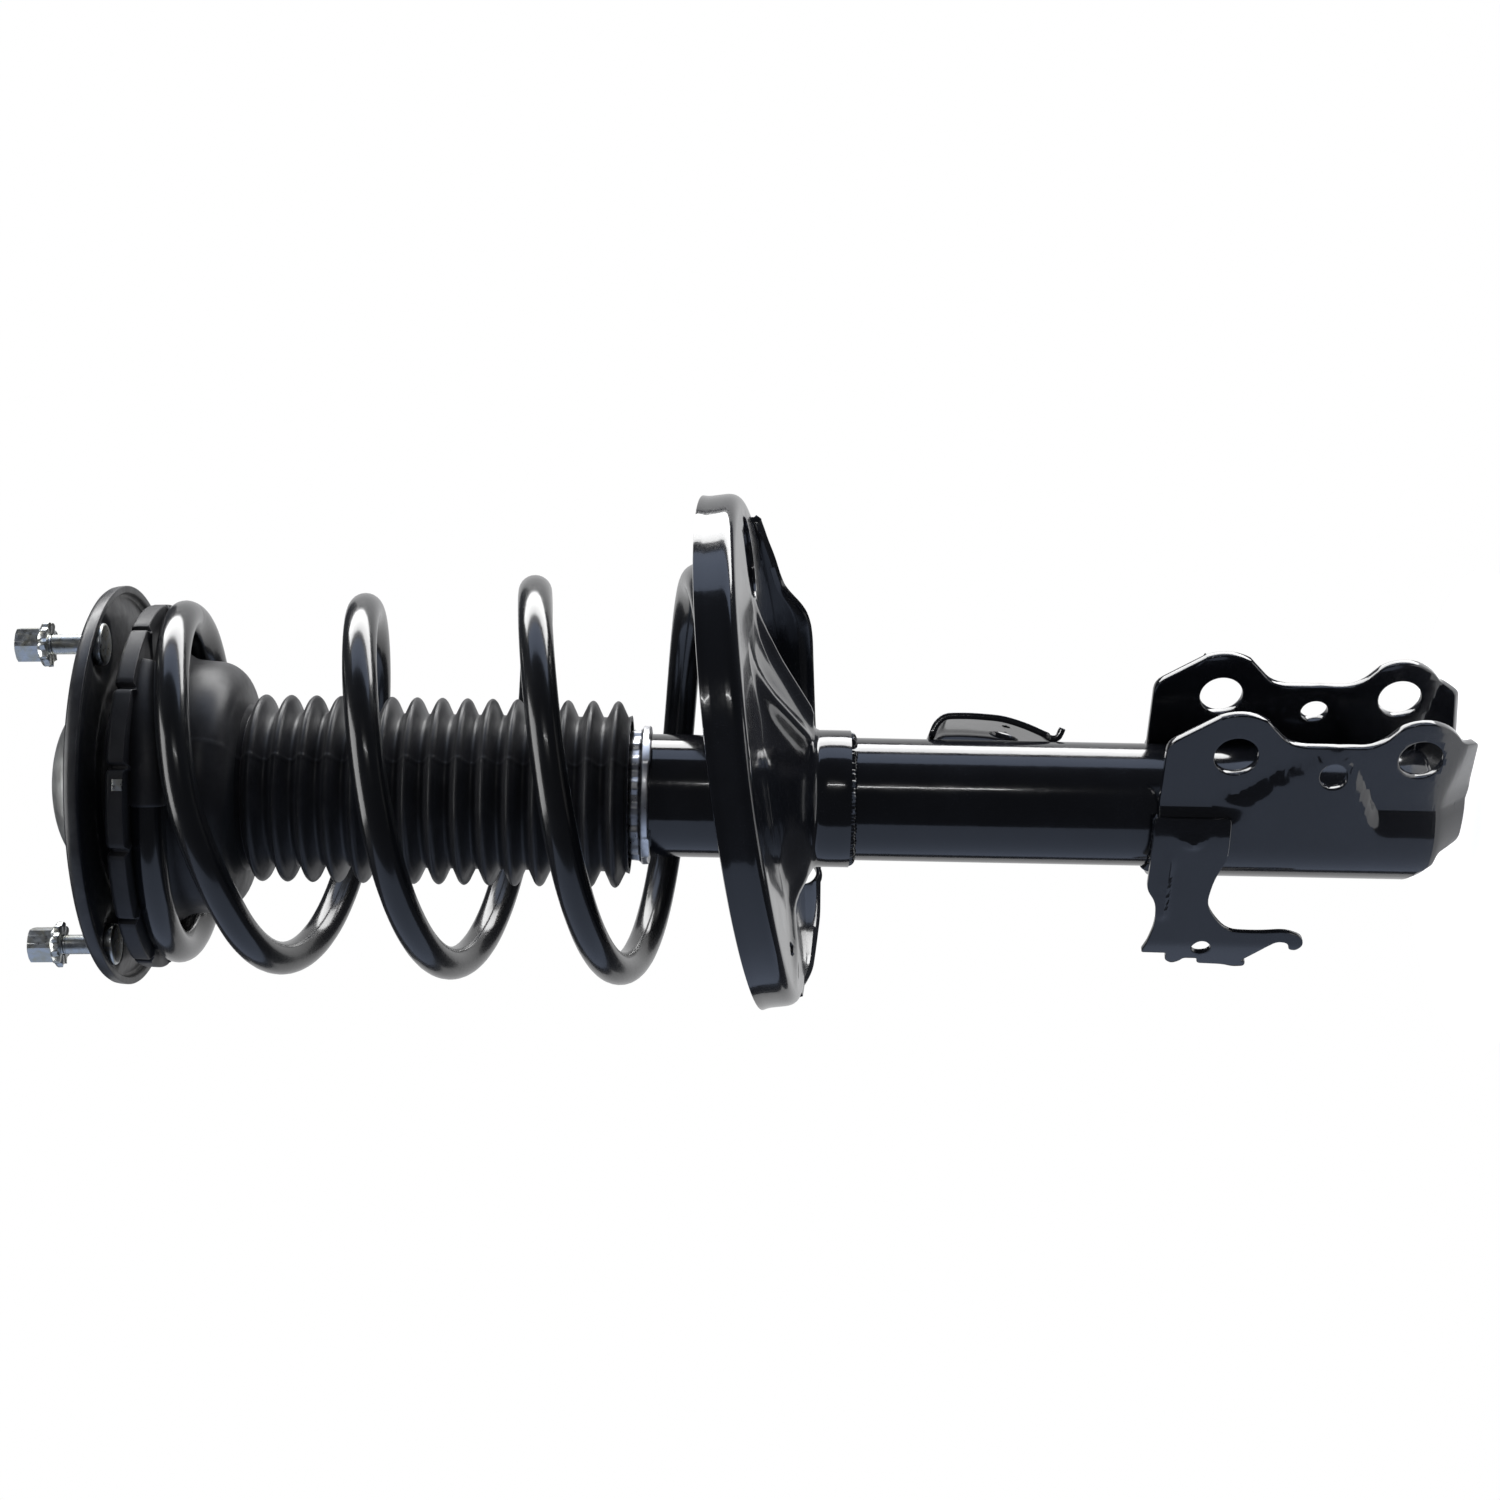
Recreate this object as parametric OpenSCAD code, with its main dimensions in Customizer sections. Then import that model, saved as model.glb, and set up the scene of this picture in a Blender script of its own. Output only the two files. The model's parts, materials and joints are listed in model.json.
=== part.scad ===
// Front suspension strut assembly: damper, coil spring, top mount, knuckle clevis and brackets.
// Frame: +Z runs up the strut axis to the top mount, +X points to the knuckle side (outboard).
// Origin: centre of the stud circle on the top face of the mount plate. Millimetres.

/* [Damper tube] */
// Outer radius of the strut tube
tube_r = 25.4; // [24:0.1:27]
// Wall thickness of the strut tube
tube_wall = 2.3; // [1.8:0.1:3]
// Height of the tube's top edge
tube_top_z = -219.5; // [-225:0.5:-215]
// Height of the tube's lower edge
tube_end_z = -538; // [-542:0.5:-534]

/* [Rod and piston] */
// Radius of the piston rod
rod_r = 10; // [9:0.5:11]
// Radius of the threaded rod end
rod_thread_r = 6; // [5:0.5:7]
// Bore radius of the inner pressure tube
bore_r = 15; // [14:0.5:16]
// Radial running clearance of rod and piston
running_gap = 0.05; // [0.03:0.01:0.09]

/* [Top mount] */
// Diameter of the stud circle
stud_pcd = 140; // [136:1:144]
// Shank radius of the body studs
stud_r = 4; // [3.8:0.1:4.2]
// Length of a stud above the plate
stud_length = 27.5; // [27:0.5:28]
// Outer radius of the mount plate
plate_r = 82; // [81.5:0.5:84]
// Depth of the plate's turned-down lip
lip_depth = 6; // [5:0.5:7]
// Sheet thickness of the mount plate
plate_t = 3; // [2.5:0.1:3.5]
// Lean of the mount plate about Y, knuckle side up
mount_tilt = 2; // [0:0.5:3]
// Height of the crown of the centre housing
crown_h = 22.6; // [22:0.1:24]

/* [Upper spring seat] */
// Outer radius of the upper insulator band
band_r = 75; // [74:0.5:76]
// Number of notches round the insulator band
notch_count = 14; // [8:1:18]
// Number of balls in the strut bearing
ball_count = 28; // [20:1:36]

/* [Coil spring] */
// Diameter of the spring wire
wire_d = 13.6; // [12:0.1:14]
// Mean coil radius at the top end
coil_top_r = 70.2; // [69:0.1:71]
// Mean coil radius at the lower end
coil_end_r = 80.5; // [79:0.1:81]
// Pitch of the active coils
coil_pitch = 70; // [69:0.5:71]
// Outboard offset of the spring's lower end
coil_shift = 11; // [10:0.5:12]

/* [Dust boot] */
// Number of folds in the dust boot
fold_count = 15; // [13:1:16]
// Outer radius of the folds
fold_r = 39; // [38:0.5:40]
// Depth of a fold
fold_depth = 7; // [5:0.5:7.5]
// Wall thickness of the boot
boot_wall = 1.6; // [1.4:0.1:2]

/* [Lower spring seat] */
// Rim radius of the lower spring seat
seat_r = 105; // [103:0.5:106]
// Outboard offset of the seat's centre
seat_shift = 23; // [21:0.5:24]
// Lean of the seat about Y, knuckle side up
seat_tilt = 9.5; // [8:0.5:9.5]
// Sheet thickness of the seat
seat_t = 2.8; // [2.4:0.1:3.2]

/* [Knuckle clevis] */
// Sheet thickness of the clevis
clevis_t = 3.6; // [3.2:0.1:4]
// Inside gap between the two ears
ear_gap = 39; // [38:0.5:40]
// Radius of the knuckle bolt holes
bolt_hole_r = 8.75; // [8:0.25:9]
// Distance between the two knuckle bolt holes
bolt_spacing = 73.5; // [72:0.5:75]
// Distance of the bolt holes from the strut axis
bolt_offset = 42; // [41:0.5:43]

/* [Hidden] */
$fn = 96;
eps = 0.01;

// top mount
stud_angles = [0, 120, 240];
stud_knurl_r = 4.4;
stud_head_r = 8.5;
stud_head_h = 3.5;
nut_flange_r = 9.2;
nut_af = 13;
nut_z = 15.2;
housing_hole_r = 15;
rubber_z = -4.8;
sleeve_z = -7;
cup_z = 6;
rod_nut_af = 19;

// bearing and upper seat
race_r = 44;
ball_r = 2.5;
race_z = -13;
cover_top_z = -8.3;
cover_r = 50;
pan_z = -19.3;
pan_t = 2.5;
pan_step_r = 52.3;
flange_z = -15;
pad_z = -20.2;

// bump stop
bump_top_z = -12;
bump_end_z = -94;

// dust boot
boot_top_z = -22;
fold_first_z = -60.6;
fold_pitch = 10.58;

// coil spring, from its top tip to its lower tip
spring_start_angle = 36;
spring_top_turn = 270;
spring_top_z = -34;
spring_tip_r = 63;
spring_tip_z = pad_z - wire_d / 2 - 0.2;
// lift of the wire on the side that the coils lean to, and that side in degrees after the pad
coil_lean = 6.3;
coil_lean_turn = 68;
spring_main_turn = 900;
spring_ease_turn = 270;
spring_ease_pitch = 60;
spring_end_turn = 180;
spring_step = 15;
spring_sides = 12;

// damper internals
inner_tube_t = 1.5;
inner_top_z = -243;
inner_end_z = -528;
guide_top_z = -222;
guide_end_z = -245;
rebound_z = -245.5;
piston_z = -285;
piston_h = 18;

// lower seat: the lip's plane crosses the strut axis at seat_z
seat_z = -259;
seat_floor = 13;
neck_top_z = -288;
neck_end_z = -303;
cone_r = 56;
cone_h = 40;
skirt_end_z = -295;
skirt_from = 81;
skirt_to = 207;
skirt_hole_angle = 158;
skirt_hole_z = -288;
drain_angle = 32;
drain_reach = 78;
drain_r = 17;

// clevis
clevis_top_z = -427;
clevis_end_z = -540;
bolt_1_z = -455;
bolt_2_z = bolt_1_z - bolt_spacing;
ear_y = ear_gap / 2;
wrap_r = tube_r + clevis_t;
valley_x = 47;

// link bracket
link_z = -366;
link_angle = 46;
link_lean = 6;
link_half_w = 25;
link_reach = 22;
link_stand_off = 32;
link_hole_r = 6.25;

module at_mount() {
    rotate([0, -mount_tilt, 0]) children();
}

module at_seat() {
    translate([0, 0, seat_z]) rotate([0, -seat_tilt, 0]) translate([seat_shift, 0, 0]) children();
}

module ring(outer_r, inner_r, low_z, high_z) {
    translate([0, 0, low_z]) difference() {
        cylinder(r = outer_r, h = high_z - low_z);
        translate([0, 0, -1]) cylinder(r = inner_r, h = high_z - low_z + 2);
    }
}

module at_studs() {
    for (a = stud_angles) rotate([0, 0, a]) translate([stud_pcd / 2, 0, 0]) children();
}

// round plate with a turned-down lip
module mount_plate() {
    color([0.10, 0.10, 0.11]) at_mount() difference() {
        union() {
            translate([0, 0, -plate_t]) cylinder(r = plate_r, h = plate_t);
            ring(plate_r, plate_r - plate_t, -lip_depth, eps - plate_t);
        }
        translate([0, 0, -10]) cylinder(r = 38, h = 20);
        at_studs() translate([0, 0, -10]) cylinder(r = stud_knurl_r, h = 20);
    }
}

// press-in studs: round head, knurled neck through the plate, plain shank, thread where the nut sits
module mount_studs() {
    thread_low = 14;
    thread_r = stud_r - 0.35;
    color([0.62, 0.64, 0.66]) at_mount() at_studs() {
        translate([0, 0, -plate_t - stud_head_h]) cylinder(r = stud_head_r, h = stud_head_h);
        translate([0, 0, -plate_t - eps]) cylinder(r = stud_knurl_r, h = plate_t + eps);
        translate([0, 0, -2 * eps]) cylinder(r = stud_r, h = thread_low);
        translate([0, 0, thread_low - 3 * eps]) cylinder(r = thread_r, h = stud_length - 1 - thread_low);
        translate([0, 0, stud_length - 1 - 4 * eps]) cylinder(r1 = thread_r, r2 = stud_r - 1, h = 1);
    }
}

// flange nuts run up near the stud ends
module stud_nuts() {
    color([0.78, 0.80, 0.82]) at_mount() at_studs() difference() {
        union() {
            translate([0, 0, nut_z]) cylinder(r = nut_flange_r, h = 1.6);
            translate([0, 0, nut_z + 1.6 - eps]) cylinder(r1 = nut_flange_r - 0.6, r2 = 7, h = 2.4);
            translate([0, 0, nut_z + 2]) cylinder(r = nut_af / 2 / cos(30), h = 11, $fn = 6);
        }
        translate([0, 0, nut_z - 1]) cylinder(r = stud_r - 0.35, h = 16);
    }
}

// domed centre housing on the plate, with a crown opening for the rod nut
module mount_housing() {
    color([0.72, 0.73, 0.72]) at_mount() rotate_extrude() polygon([
        [50, 0], [50, 2], [42, 2], [38.5, crown_h - 13.6], [35, crown_h - 9.1], [30, crown_h - 5],
        [25, crown_h - 2.2], [20, crown_h - 0.4], [housing_hole_r + 2, crown_h],
        [housing_hole_r, crown_h - 0.6], [housing_hole_r, crown_h - 3], [19, crown_h - 3.2],
        [24, crown_h - 4.8], [28.5, crown_h - 7.4], [33, crown_h - 11.2], [36, crown_h - 15.2],
        [39, 0]
    ]);
}

module mount_rubber() {
    color([0.07, 0.07, 0.07]) difference() {
        at_mount() rotate_extrude() polygon([
            [0, rubber_z], [37.5, rubber_z], [37.5, 0], [38.5, 0.4], [35.5, crown_h - 15.4],
            [32.6, crown_h - 11.6], [28.2, crown_h - 7.8], [23.8, crown_h - 5.2],
            [19, crown_h - 3.7], [17, 9], [0, 9]
        ]);
        translate([0, 0, -20]) cylinder(r = 10, h = 60);
        translate([0, 0, cup_z]) cylinder(r = 16, h = 30);
    }
}

module mount_sleeve() {
    color([0.45, 0.46, 0.48]) {
        ring(10, rod_thread_r, sleeve_z, cup_z);
        ring(25, rod_thread_r, sleeve_z - 2.5, sleeve_z + eps);
    }
}

module cup_washer() {
    color([0.60, 0.61, 0.62]) ring(14.5, rod_thread_r, cup_z, cup_z + 2.5);
}

module rod_nut() {
    color([0.74, 0.74, 0.70]) translate([0, 0, cup_z + 2.5]) difference() {
        cylinder(r = rod_nut_af / 2 / cos(30), h = 9, $fn = 6);
        translate([0, 0, -1]) cylinder(r = rod_thread_r, h = 12);
    }
}

module bearing_cover() {
    color([0.09, 0.09, 0.10]) difference() {
        ring(cover_r, 28, race_z + 0.4, cover_top_z);
        translate([0, 0, race_z]) rotate_extrude() translate([race_r, 0]) circle(r = ball_r, $fn = 32);
    }
}

module bearing_balls() {
    color([0.75, 0.76, 0.78]) for (i = [0:ball_count - 1]) rotate([0, 0, i * 360 / ball_count])
        translate([race_r, 0, race_z]) sphere(r = ball_r, $fn = 24);
}

module bump_cup() {
    color([0.16, 0.16, 0.17]) {
        ring(25, rod_r, bump_top_z, sleeve_z - 2.5);
        ring(27, 25, bump_top_z - 6, sleeve_z - 2.5);
    }
}

// stepped urethane bump stop with rounded waists
module bump_stop() {
    color([0.80, 0.72, 0.45]) rotate_extrude() polygon([
        [rod_r, bump_top_z], [24, bump_top_z], [24, -26], [21.5, -30], [24, -34], [24, -44],
        [20, -50], [23, -56], [23, -64], [18, -70], [20, -76], [18, -84], [14, -91],
        [13, bump_end_z], [rod_r, bump_end_z]
    ]);
}

module piston_rod() {
    color([0.80, 0.81, 0.83]) {
        translate([0, 0, piston_z]) cylinder(r = rod_r, h = sleeve_z - 2.5 - piston_z);
        translate([0, 0, sleeve_z - 3]) cylinder(r = rod_thread_r, h = 28);
        translate([0, 0, piston_z - piston_h - 13]) cylinder(r = rod_thread_r, h = piston_h + 14);
    }
}

module rebound_stop() {
    color([0.20, 0.20, 0.21]) ring(14, rod_r, rebound_z - 9, rebound_z);
}

module piston() {
    color([0.55, 0.56, 0.58]) difference() {
        ring(bore_r - 0.8, rod_thread_r, piston_z - piston_h, piston_z);
        for (i = [0:5]) rotate([0, 0, 60 * i]) translate([10.4, 0, piston_z - 30])
            cylinder(r = 1.4, h = 40, $fn = 24);
    }
}

module piston_band() {
    color([0.30, 0.33, 0.30])
        ring(bore_r - running_gap, bore_r - 0.8, piston_z - piston_h + 3, piston_z - 3);
}

module piston_nut() {
    color([0.66, 0.66, 0.64]) translate([0, 0, piston_z - piston_h - 10]) difference() {
        cylinder(r = 10, h = 10, $fn = 6);
        translate([0, 0, -1]) cylinder(r = rod_thread_r, h = 12);
    }
}

module bearing_ring() {
    color([0.10, 0.10, 0.11]) difference() {
        ring(pan_step_r - 0.3, 30, pan_z, race_z - 0.4);
        translate([0, 0, race_z]) rotate_extrude() translate([race_r, 0]) circle(r = ball_r + 0.08, $fn = 32);
    }
}

// pan with a raised flange that carries the end of the spring
module upper_seat() {
    color([0.08, 0.08, 0.09]) rotate_extrude() polygon([
        [29.5, -30], [29.5, pan_z], [pan_step_r, pan_z], [pan_step_r, flange_z], [70, flange_z],
        [70, flange_z - pan_t], [pan_step_r + pan_t, flange_z - pan_t],
        [pan_step_r + pan_t, pan_z - pan_t], [32, pan_z - pan_t], [32, -30]
    ]);
}

// rubber ring between pan and spring: outer band with notches, pad under the flange
module upper_insulator() {
    color([0.06, 0.06, 0.065]) difference() {
        rotate_extrude() polygon([
            [pan_step_r + pan_t, flange_z - pan_t], [70, flange_z - pan_t], [70, flange_z],
            [72, race_z], [band_r - 1.5, race_z], [band_r, race_z - 1.5], [band_r, pad_z],
            [pan_step_r + pan_t, pad_z]
        ]);
        for (i = [0:notch_count - 1]) rotate([0, 0, i * 360 / notch_count])
            translate([band_r - 1.8, -2.5, -25]) cube([6, 5, 8]);
    }
}

function ease(t) = t <= 0 ? 0 : t >= 1 ? 1 : t * t * (3 - 2 * t);
// turn: degrees travelled down the wire from the top tip
function spring_active(turn) = turn - spring_top_turn;
function spring_share(turn) =
    ease(spring_active(turn) / (spring_main_turn + spring_ease_turn));
// the top end turn winds inwards to the tip
function spring_tip(turn) = pow(max(0, 1 - turn / spring_top_turn), 1.5);
function spring_r(turn) =
    coil_top_r + (coil_end_r - coil_top_r) * spring_share(turn)
    - (coil_top_r - spring_tip_r) * spring_tip(turn);
function spring_x0(turn) = coil_shift * spring_share(turn);
function spring_drop(a) =
    a <= 0 ? 0
    : a <= spring_main_turn ? coil_pitch * a / 360
    : coil_pitch * spring_main_turn / 360 + spring_ease_pitch * (a - spring_main_turn) / 360;
// height over a plain helix: the coils lean to one side, and the first stays near the pad
function spring_lift(a) =
    a <= 0 ? spring_tip_z - spring_top_z
    : coil_lean * cos(a - coil_lean_turn) * (1 - ease((a - spring_main_turn) / spring_ease_turn))
        + (spring_tip_z - spring_top_z - coil_lean * cos(coil_lean_turn)) * (1 - ease((a - 85) / 50));
function spring_angle(turn) = spring_start_angle - spring_active(turn);
function spring_x(turn) = spring_x0(turn) + spring_r(turn) * cos(spring_angle(turn));
function spring_y(turn) = spring_r(turn) * sin(spring_angle(turn));
// lower end turn rests on the tilted seat
spring_seat_turn = spring_top_turn + spring_main_turn + spring_ease_turn;
function spring_z(turn) =
    turn <= spring_seat_turn
    ? spring_top_z - spring_drop(spring_active(turn)) + spring_lift(spring_active(turn))
    : spring_top_z - spring_drop(spring_main_turn + spring_ease_turn)
        + tan(seat_tilt) * (spring_x(turn) - spring_x(spring_seat_turn));
function spring_at(turn) = [spring_x(turn), spring_y(turn), spring_z(turn)];
function unit(v) = v / norm(v);
function ring_points(turn) =
    let (t = unit(spring_at(turn + 1) - spring_at(turn - 1)),
         out = unit(cross([0, 0, 1], t)),
         up = cross(t, out))
    [for (k = [0:spring_sides - 1])
        let (a = 360 * k / spring_sides)
        spring_at(turn) + wire_d / 2 * (cos(a) * out + sin(a) * up)];

module coil_spring() {
    turns = spring_seat_turn + spring_end_turn;
    rings = floor(turns / spring_step);
    n = spring_sides;
    points = [for (i = [0:rings]) each ring_points(i * spring_step)];
    sides = [for (i = [0:rings - 1], k = [0:n - 1])
        [i * n + k, i * n + (k + 1) % n, (i + 1) * n + (k + 1) % n, (i + 1) * n + k]];
    first = [for (k = [n - 1:-1:0]) k];
    last = [for (k = [0:n - 1]) rings * n + k];
    color([0.03, 0.03, 0.035]) polyhedron(points, concat(sides, [first, last]), convexity = 10);
}

// bellows profile: flange, bell, then folds; the inner side follows at the wall thickness
function fold_line(offset) = [for (i = [0:fold_count - 1]) each
    let (z = fold_first_z - fold_pitch * i)
    [[fold_r - fold_depth - offset, z + fold_pitch / 2],
     [fold_r - 2 - offset, z + 2.2],
     [fold_r - offset, z],
     [fold_r - 2 - offset, z - 2.2]]];

module dust_boot() {
    boot_end_z = fold_first_z - fold_pitch * (fold_count - 0.5);
    outer = concat([[56, boot_top_z], [56, -27], [52.5, -31], [51.5, -47]], fold_line(0),
        [[fold_r - fold_depth, boot_end_z]]);
    inner = concat([[32.3, boot_top_z], [32.3, -25], [48, -28], [49.8, -46]], fold_line(boot_wall),
        [[fold_r - fold_depth - boot_wall, boot_end_z]]);
    color([0.05, 0.05, 0.055]) rotate_extrude()
        polygon(concat(outer, [for (i = [len(inner) - 1:-1:0]) inner[i]]));
}

module outer_tube() {
    color([0.03, 0.03, 0.035]) ring(tube_r, tube_r - tube_wall, tube_end_z, tube_top_z);
}

module inner_tube() {
    color([0.70, 0.71, 0.72]) ring(bore_r + inner_tube_t, bore_r, inner_end_z, inner_top_z);
}

module base_valve() {
    color([0.55, 0.56, 0.58]) {
        translate([0, 0, inner_end_z]) cylinder(r = bore_r, h = 10);
        translate([0, 0, inner_end_z - 6]) cylinder(r = tube_r - tube_wall, h = 6 + eps);
    }
}

module rod_guide() {
    head_h = guide_top_z - 6 - inner_top_z;
    color([0.50, 0.51, 0.53]) difference() {
        union() {
            translate([0, 0, inner_top_z]) cylinder(r = tube_r - tube_wall, h = head_h);
            translate([0, 0, guide_end_z]) cylinder(r = bore_r, h = inner_top_z - guide_end_z + eps);
        }
        translate([0, 0, guide_end_z - 1]) cylinder(r = rod_r + running_gap, h = 40);
    }
}

module rod_seal() {
    color([0.06, 0.06, 0.06]) ring(tube_r - tube_wall, rod_r + running_gap, guide_top_z - 6, tube_top_z);
}

// pressed aluminium bump cap over the tube's top, with flutes round it
module cap_ring() {
    color([0.80, 0.81, 0.83]) difference() {
        union() {
            ring(28.8, tube_r, tube_top_z - 1, tube_top_z + 2);
            ring(26.8, rod_r + 1.5, tube_top_z, tube_top_z + 8);
            for (i = [0:15]) rotate([0, 0, 22.5 * i]) translate([26.6, 0, tube_top_z + 1])
                cylinder(r = 1.4, h = 8.4, $fn = 24);
        }
    }
}

module bottom_cap() {
    color([0.03, 0.03, 0.035]) {
        translate([0, 0, tube_end_z]) cylinder(r = tube_r - tube_wall, h = 3.9);
        translate([0, 0, tube_end_z - 2]) cylinder(r = tube_r - 0.6, h = 2 + eps);
    }
}

// stamped dish in the seat's frame: lip at z = 0, spring land below it
module seat_dish() {
    under = seat_floor + seat_t;
    rotate_extrude() polygon([
        [seat_r - seat_t, 0], [seat_r, -0.6], [seat_r, -under + 4], [seat_r - 1.5, -under + 1.2],
        [seat_r - 5, -under], [0, -under], [0, -seat_floor], [seat_r - 7, -seat_floor],
        [seat_r - seat_t - 1, -seat_floor + 2.5], [seat_r - seat_t, -seat_floor + 5]
    ]);
}

// flat wedge between two directions, used to keep part of a ring
module sector(from, to, r) {
    steps = 6;
    polygon(concat([[0, 0]], [for (i = [0:steps]) let (a = from + (to - from) * i / steps)
        r * [cos(a), sin(a)]]));
}

// turned-down stiffening skirt along the back of the dish, level along its lower edge
module seat_skirt() {
    intersection() {
        at_seat() translate([0, 0, -60]) linear_extrude(60.5 - seat_floor) intersection() {
            difference() {
                circle(r = seat_r - 1);
                circle(r = seat_r - 1 - seat_t);
            }
            sector(skirt_from, skirt_to, 160);
        }
        translate([-200, -200, skirt_end_z]) cube([400, 400, 60]);
    }
}

module at_drain() {
    at_seat() rotate([0, 0, drain_angle]) translate([drain_reach, 0, 0]) children();
}

module neck_cone(low_r, high_r) {
    translate([0, 0, neck_top_z]) cylinder(r1 = low_r, r2 = high_r, h = cone_h);
}

module lower_seat() {
    color([0.03, 0.03, 0.035]) difference() {
        union() {
            at_seat() seat_dish();
            intersection() {
                neck_cone(tube_r + seat_t, cone_r);
                at_seat() translate([-150, -150, -seat_floor - 61]) cube([300, 300, 60]);
            }
            seat_skirt();
            translate([0, 0, neck_end_z]) cylinder(r = tube_r + seat_t, h = neck_top_z - neck_end_z + eps);
        }
        neck_cone(tube_r, cone_r - seat_t);
        translate([0, 0, neck_end_z - 1]) cylinder(r = tube_r, h = 80);
        // drain hole, two pilot holes, and the hole in the skirt
        at_drain() translate([0, 0, -30]) cylinder(r = drain_r, h = 40);
        for (a = [-128, -140]) at_seat() rotate([0, 0, a]) translate([84, 0, -30])
            cylinder(r = 3, h = 40);
        translate([seat_shift, 0, skirt_hole_z]) rotate([0, 90, skirt_hole_angle])
            translate([0, 0, seat_r - 8]) cylinder(r = 6.5, h = 14);
    }
}

module lower_insulator() {
    color([0.05, 0.05, 0.055]) at_seat() translate([0, 0, -seat_floor]) difference() {
        translate([coil_shift - seat_shift, 0, 0]) cylinder(r = coil_end_r + 5, h = 1.2);
        translate([coil_shift - seat_shift, 0, -1]) cylinder(r = coil_end_r - 9, h = 4);
        rotate([0, 0, drain_angle]) translate([drain_reach, 0, -1]) cylinder(r = drain_r, h = 4);
    }
}

// stabiliser link bracket: shallow stamped cup on two flanks, standing off the back of the tube
module link_plate(edge) {
    circle_r = link_half_w - edge;
    translate([0, link_reach]) circle(r = circle_r);
    translate([-circle_r, -4]) square([2 * circle_r, link_reach + 4]);
}

module link_bracket() {
    sheet = 2.8;
    color([0.03, 0.03, 0.035]) translate([0, 0, link_z]) rotate([0, 0, link_angle]) difference() {
        rotate([0, link_lean, 0]) difference() {
            translate([link_stand_off - 10, 0, 0]) rotate([0, 90, 0])
                linear_extrude(10 + sheet) link_plate(0);
            translate([link_stand_off - 20, 0, 0]) rotate([0, 90, 0])
                linear_extrude(20) link_plate(sheet);
            translate([0, link_reach, 0]) rotate([0, 90, 0]) cylinder(r = link_hole_r, h = 60);
        }
        translate([0, 0, -60]) cylinder(r = tube_r, h = 120);
    }
}

// side view of one ear, drawn in X and Z
module ear_shape() {
    translate([bolt_offset, bolt_1_z]) circle(r = 20);
    translate([bolt_offset, bolt_2_z]) circle(r = 17.3);
    polygon([[20, clevis_top_z], [48, clevis_top_z], [bolt_offset + 18.3, bolt_1_z + 8],
        [bolt_offset + 17, bolt_1_z - 10.5], [valley_x + 2, bolt_1_z - 20],
        [valley_x, bolt_1_z - 26], [valley_x, bolt_2_z + 21], [valley_x + 3, bolt_2_z + 15.5],
        [bolt_offset + 14, bolt_2_z + 10], [bolt_offset + 9, bolt_2_z - 14.7],
        [25, clevis_end_z + 5], [20, clevis_end_z + 5]]);
}

// sheet between wrap and ear in the middle of the clevis, in X and Y
module flank_shape() {
    polygon([[3, wrap_r - 0.2], [valley_x, ear_y + clevis_t], [valley_x, ear_y], [19, 17],
        [3, tube_r - 0.4]]);
}

module knuckle_clevis() {
    mid_hole_z = (bolt_1_z + bolt_2_z) / 2 - 3;
    color([0.03, 0.03, 0.035]) difference() {
        union() {
            // wrap round the back of the tube
            translate([0, 0, clevis_end_z]) linear_extrude(clevis_top_z - clevis_end_z) difference() {
                circle(r = wrap_r);
                polygon([[0, 0], [60, 75], [60, -75]]);
            }
            for (side = [0, 1]) mirror([0, side, 0]) {
                translate([0, ear_y + clevis_t, 0]) rotate([90, 0, 0])
                    linear_extrude(clevis_t) ear_shape();
                translate([0, 0, bolt_2_z + 19]) linear_extrude(bolt_spacing - 37) flank_shape();
                // turned-in strip along the lower end
                translate([0, ear_y + clevis_t - 0.6, 0]) rotate([90, 0, 0])
                    linear_extrude(clevis_t - 1) polygon([[43, bolt_2_z - 16], [40, -552],
                        [17, -549], [17, clevis_end_z + 3], [26, clevis_end_z + 3]]);
            }
        }
        translate([0, 0, -600]) cylinder(r = tube_r, h = 300);
        for (z = [bolt_1_z, bolt_2_z]) translate([bolt_offset, 50, z]) rotate([90, 0, 0])
            cylinder(r = bolt_hole_r, h = 100);
        translate([34, 50, mid_hole_z]) rotate([90, 0, 0]) cylinder(r = 5.5, h = 100);
    }
}

// brake hose bracket: strap round the wrap, flat arm with a hook and a clip hole
module hose_bracket() {
    arm_t = 2.5;
    strap_low_z = -456;
    strap_top_z = -425;
    color([0.03, 0.03, 0.035]) difference() {
        union() {
            translate([0, 0, strap_low_z]) linear_extrude(strap_top_z - strap_low_z) intersection() {
                difference() {
                    circle(r = wrap_r + arm_t);
                    circle(r = wrap_r);
                }
                sector(-95, -62, 60);
            }
            translate([0, -wrap_r, 0]) rotate([90, 0, 0]) linear_extrude(arm_t) polygon([
                [0, strap_top_z], [-20, strap_top_z], [-29, -430], [-38, -430.5], [-55, -426.5],
                [-55, -437], [-61, -437.5], [-63, -440], [-61, -443.5], [-59, -445], [-59, -450.5],
                [-63, -451], [-63, -462], [-65, -467], [-64.5, -472], [-61, -471], [-60, -470],
                [-47.5, -479], [-46, -483], [-47, -487], [-51, -488.5], [-51.5, -490.5],
                [-48, -493.5], [-43.5, -492.5], [-40.5, -485], [-42, -473], [-42, -461],
                [-35, -455], [-27, -449.5], [-14, -451], [0, strap_low_z]
            ]);
        }
        translate([-51, 0, -451]) rotate([90, 0, 0]) cylinder(r = 4, h = 60);
    }
}

// fillet bead round the tube, above or below a neighbour's edge
module bead(z, side, from, to) {
    bead_r = 2.6;
    intersection() {
        translate([0, 0, z]) difference() {
            rotate_extrude() translate([tube_r, 0]) circle(r = bead_r, $fn = 24);
            translate([0, 0, -10]) cylinder(r = tube_r, h = 20);
            translate([-50, -50, side > 0 ? -20 : 0]) cube([100, 100, 20]);
        }
        translate([0, 0, z - 10]) linear_extrude(20) sector(from, to, 60);
    }
}

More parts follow.
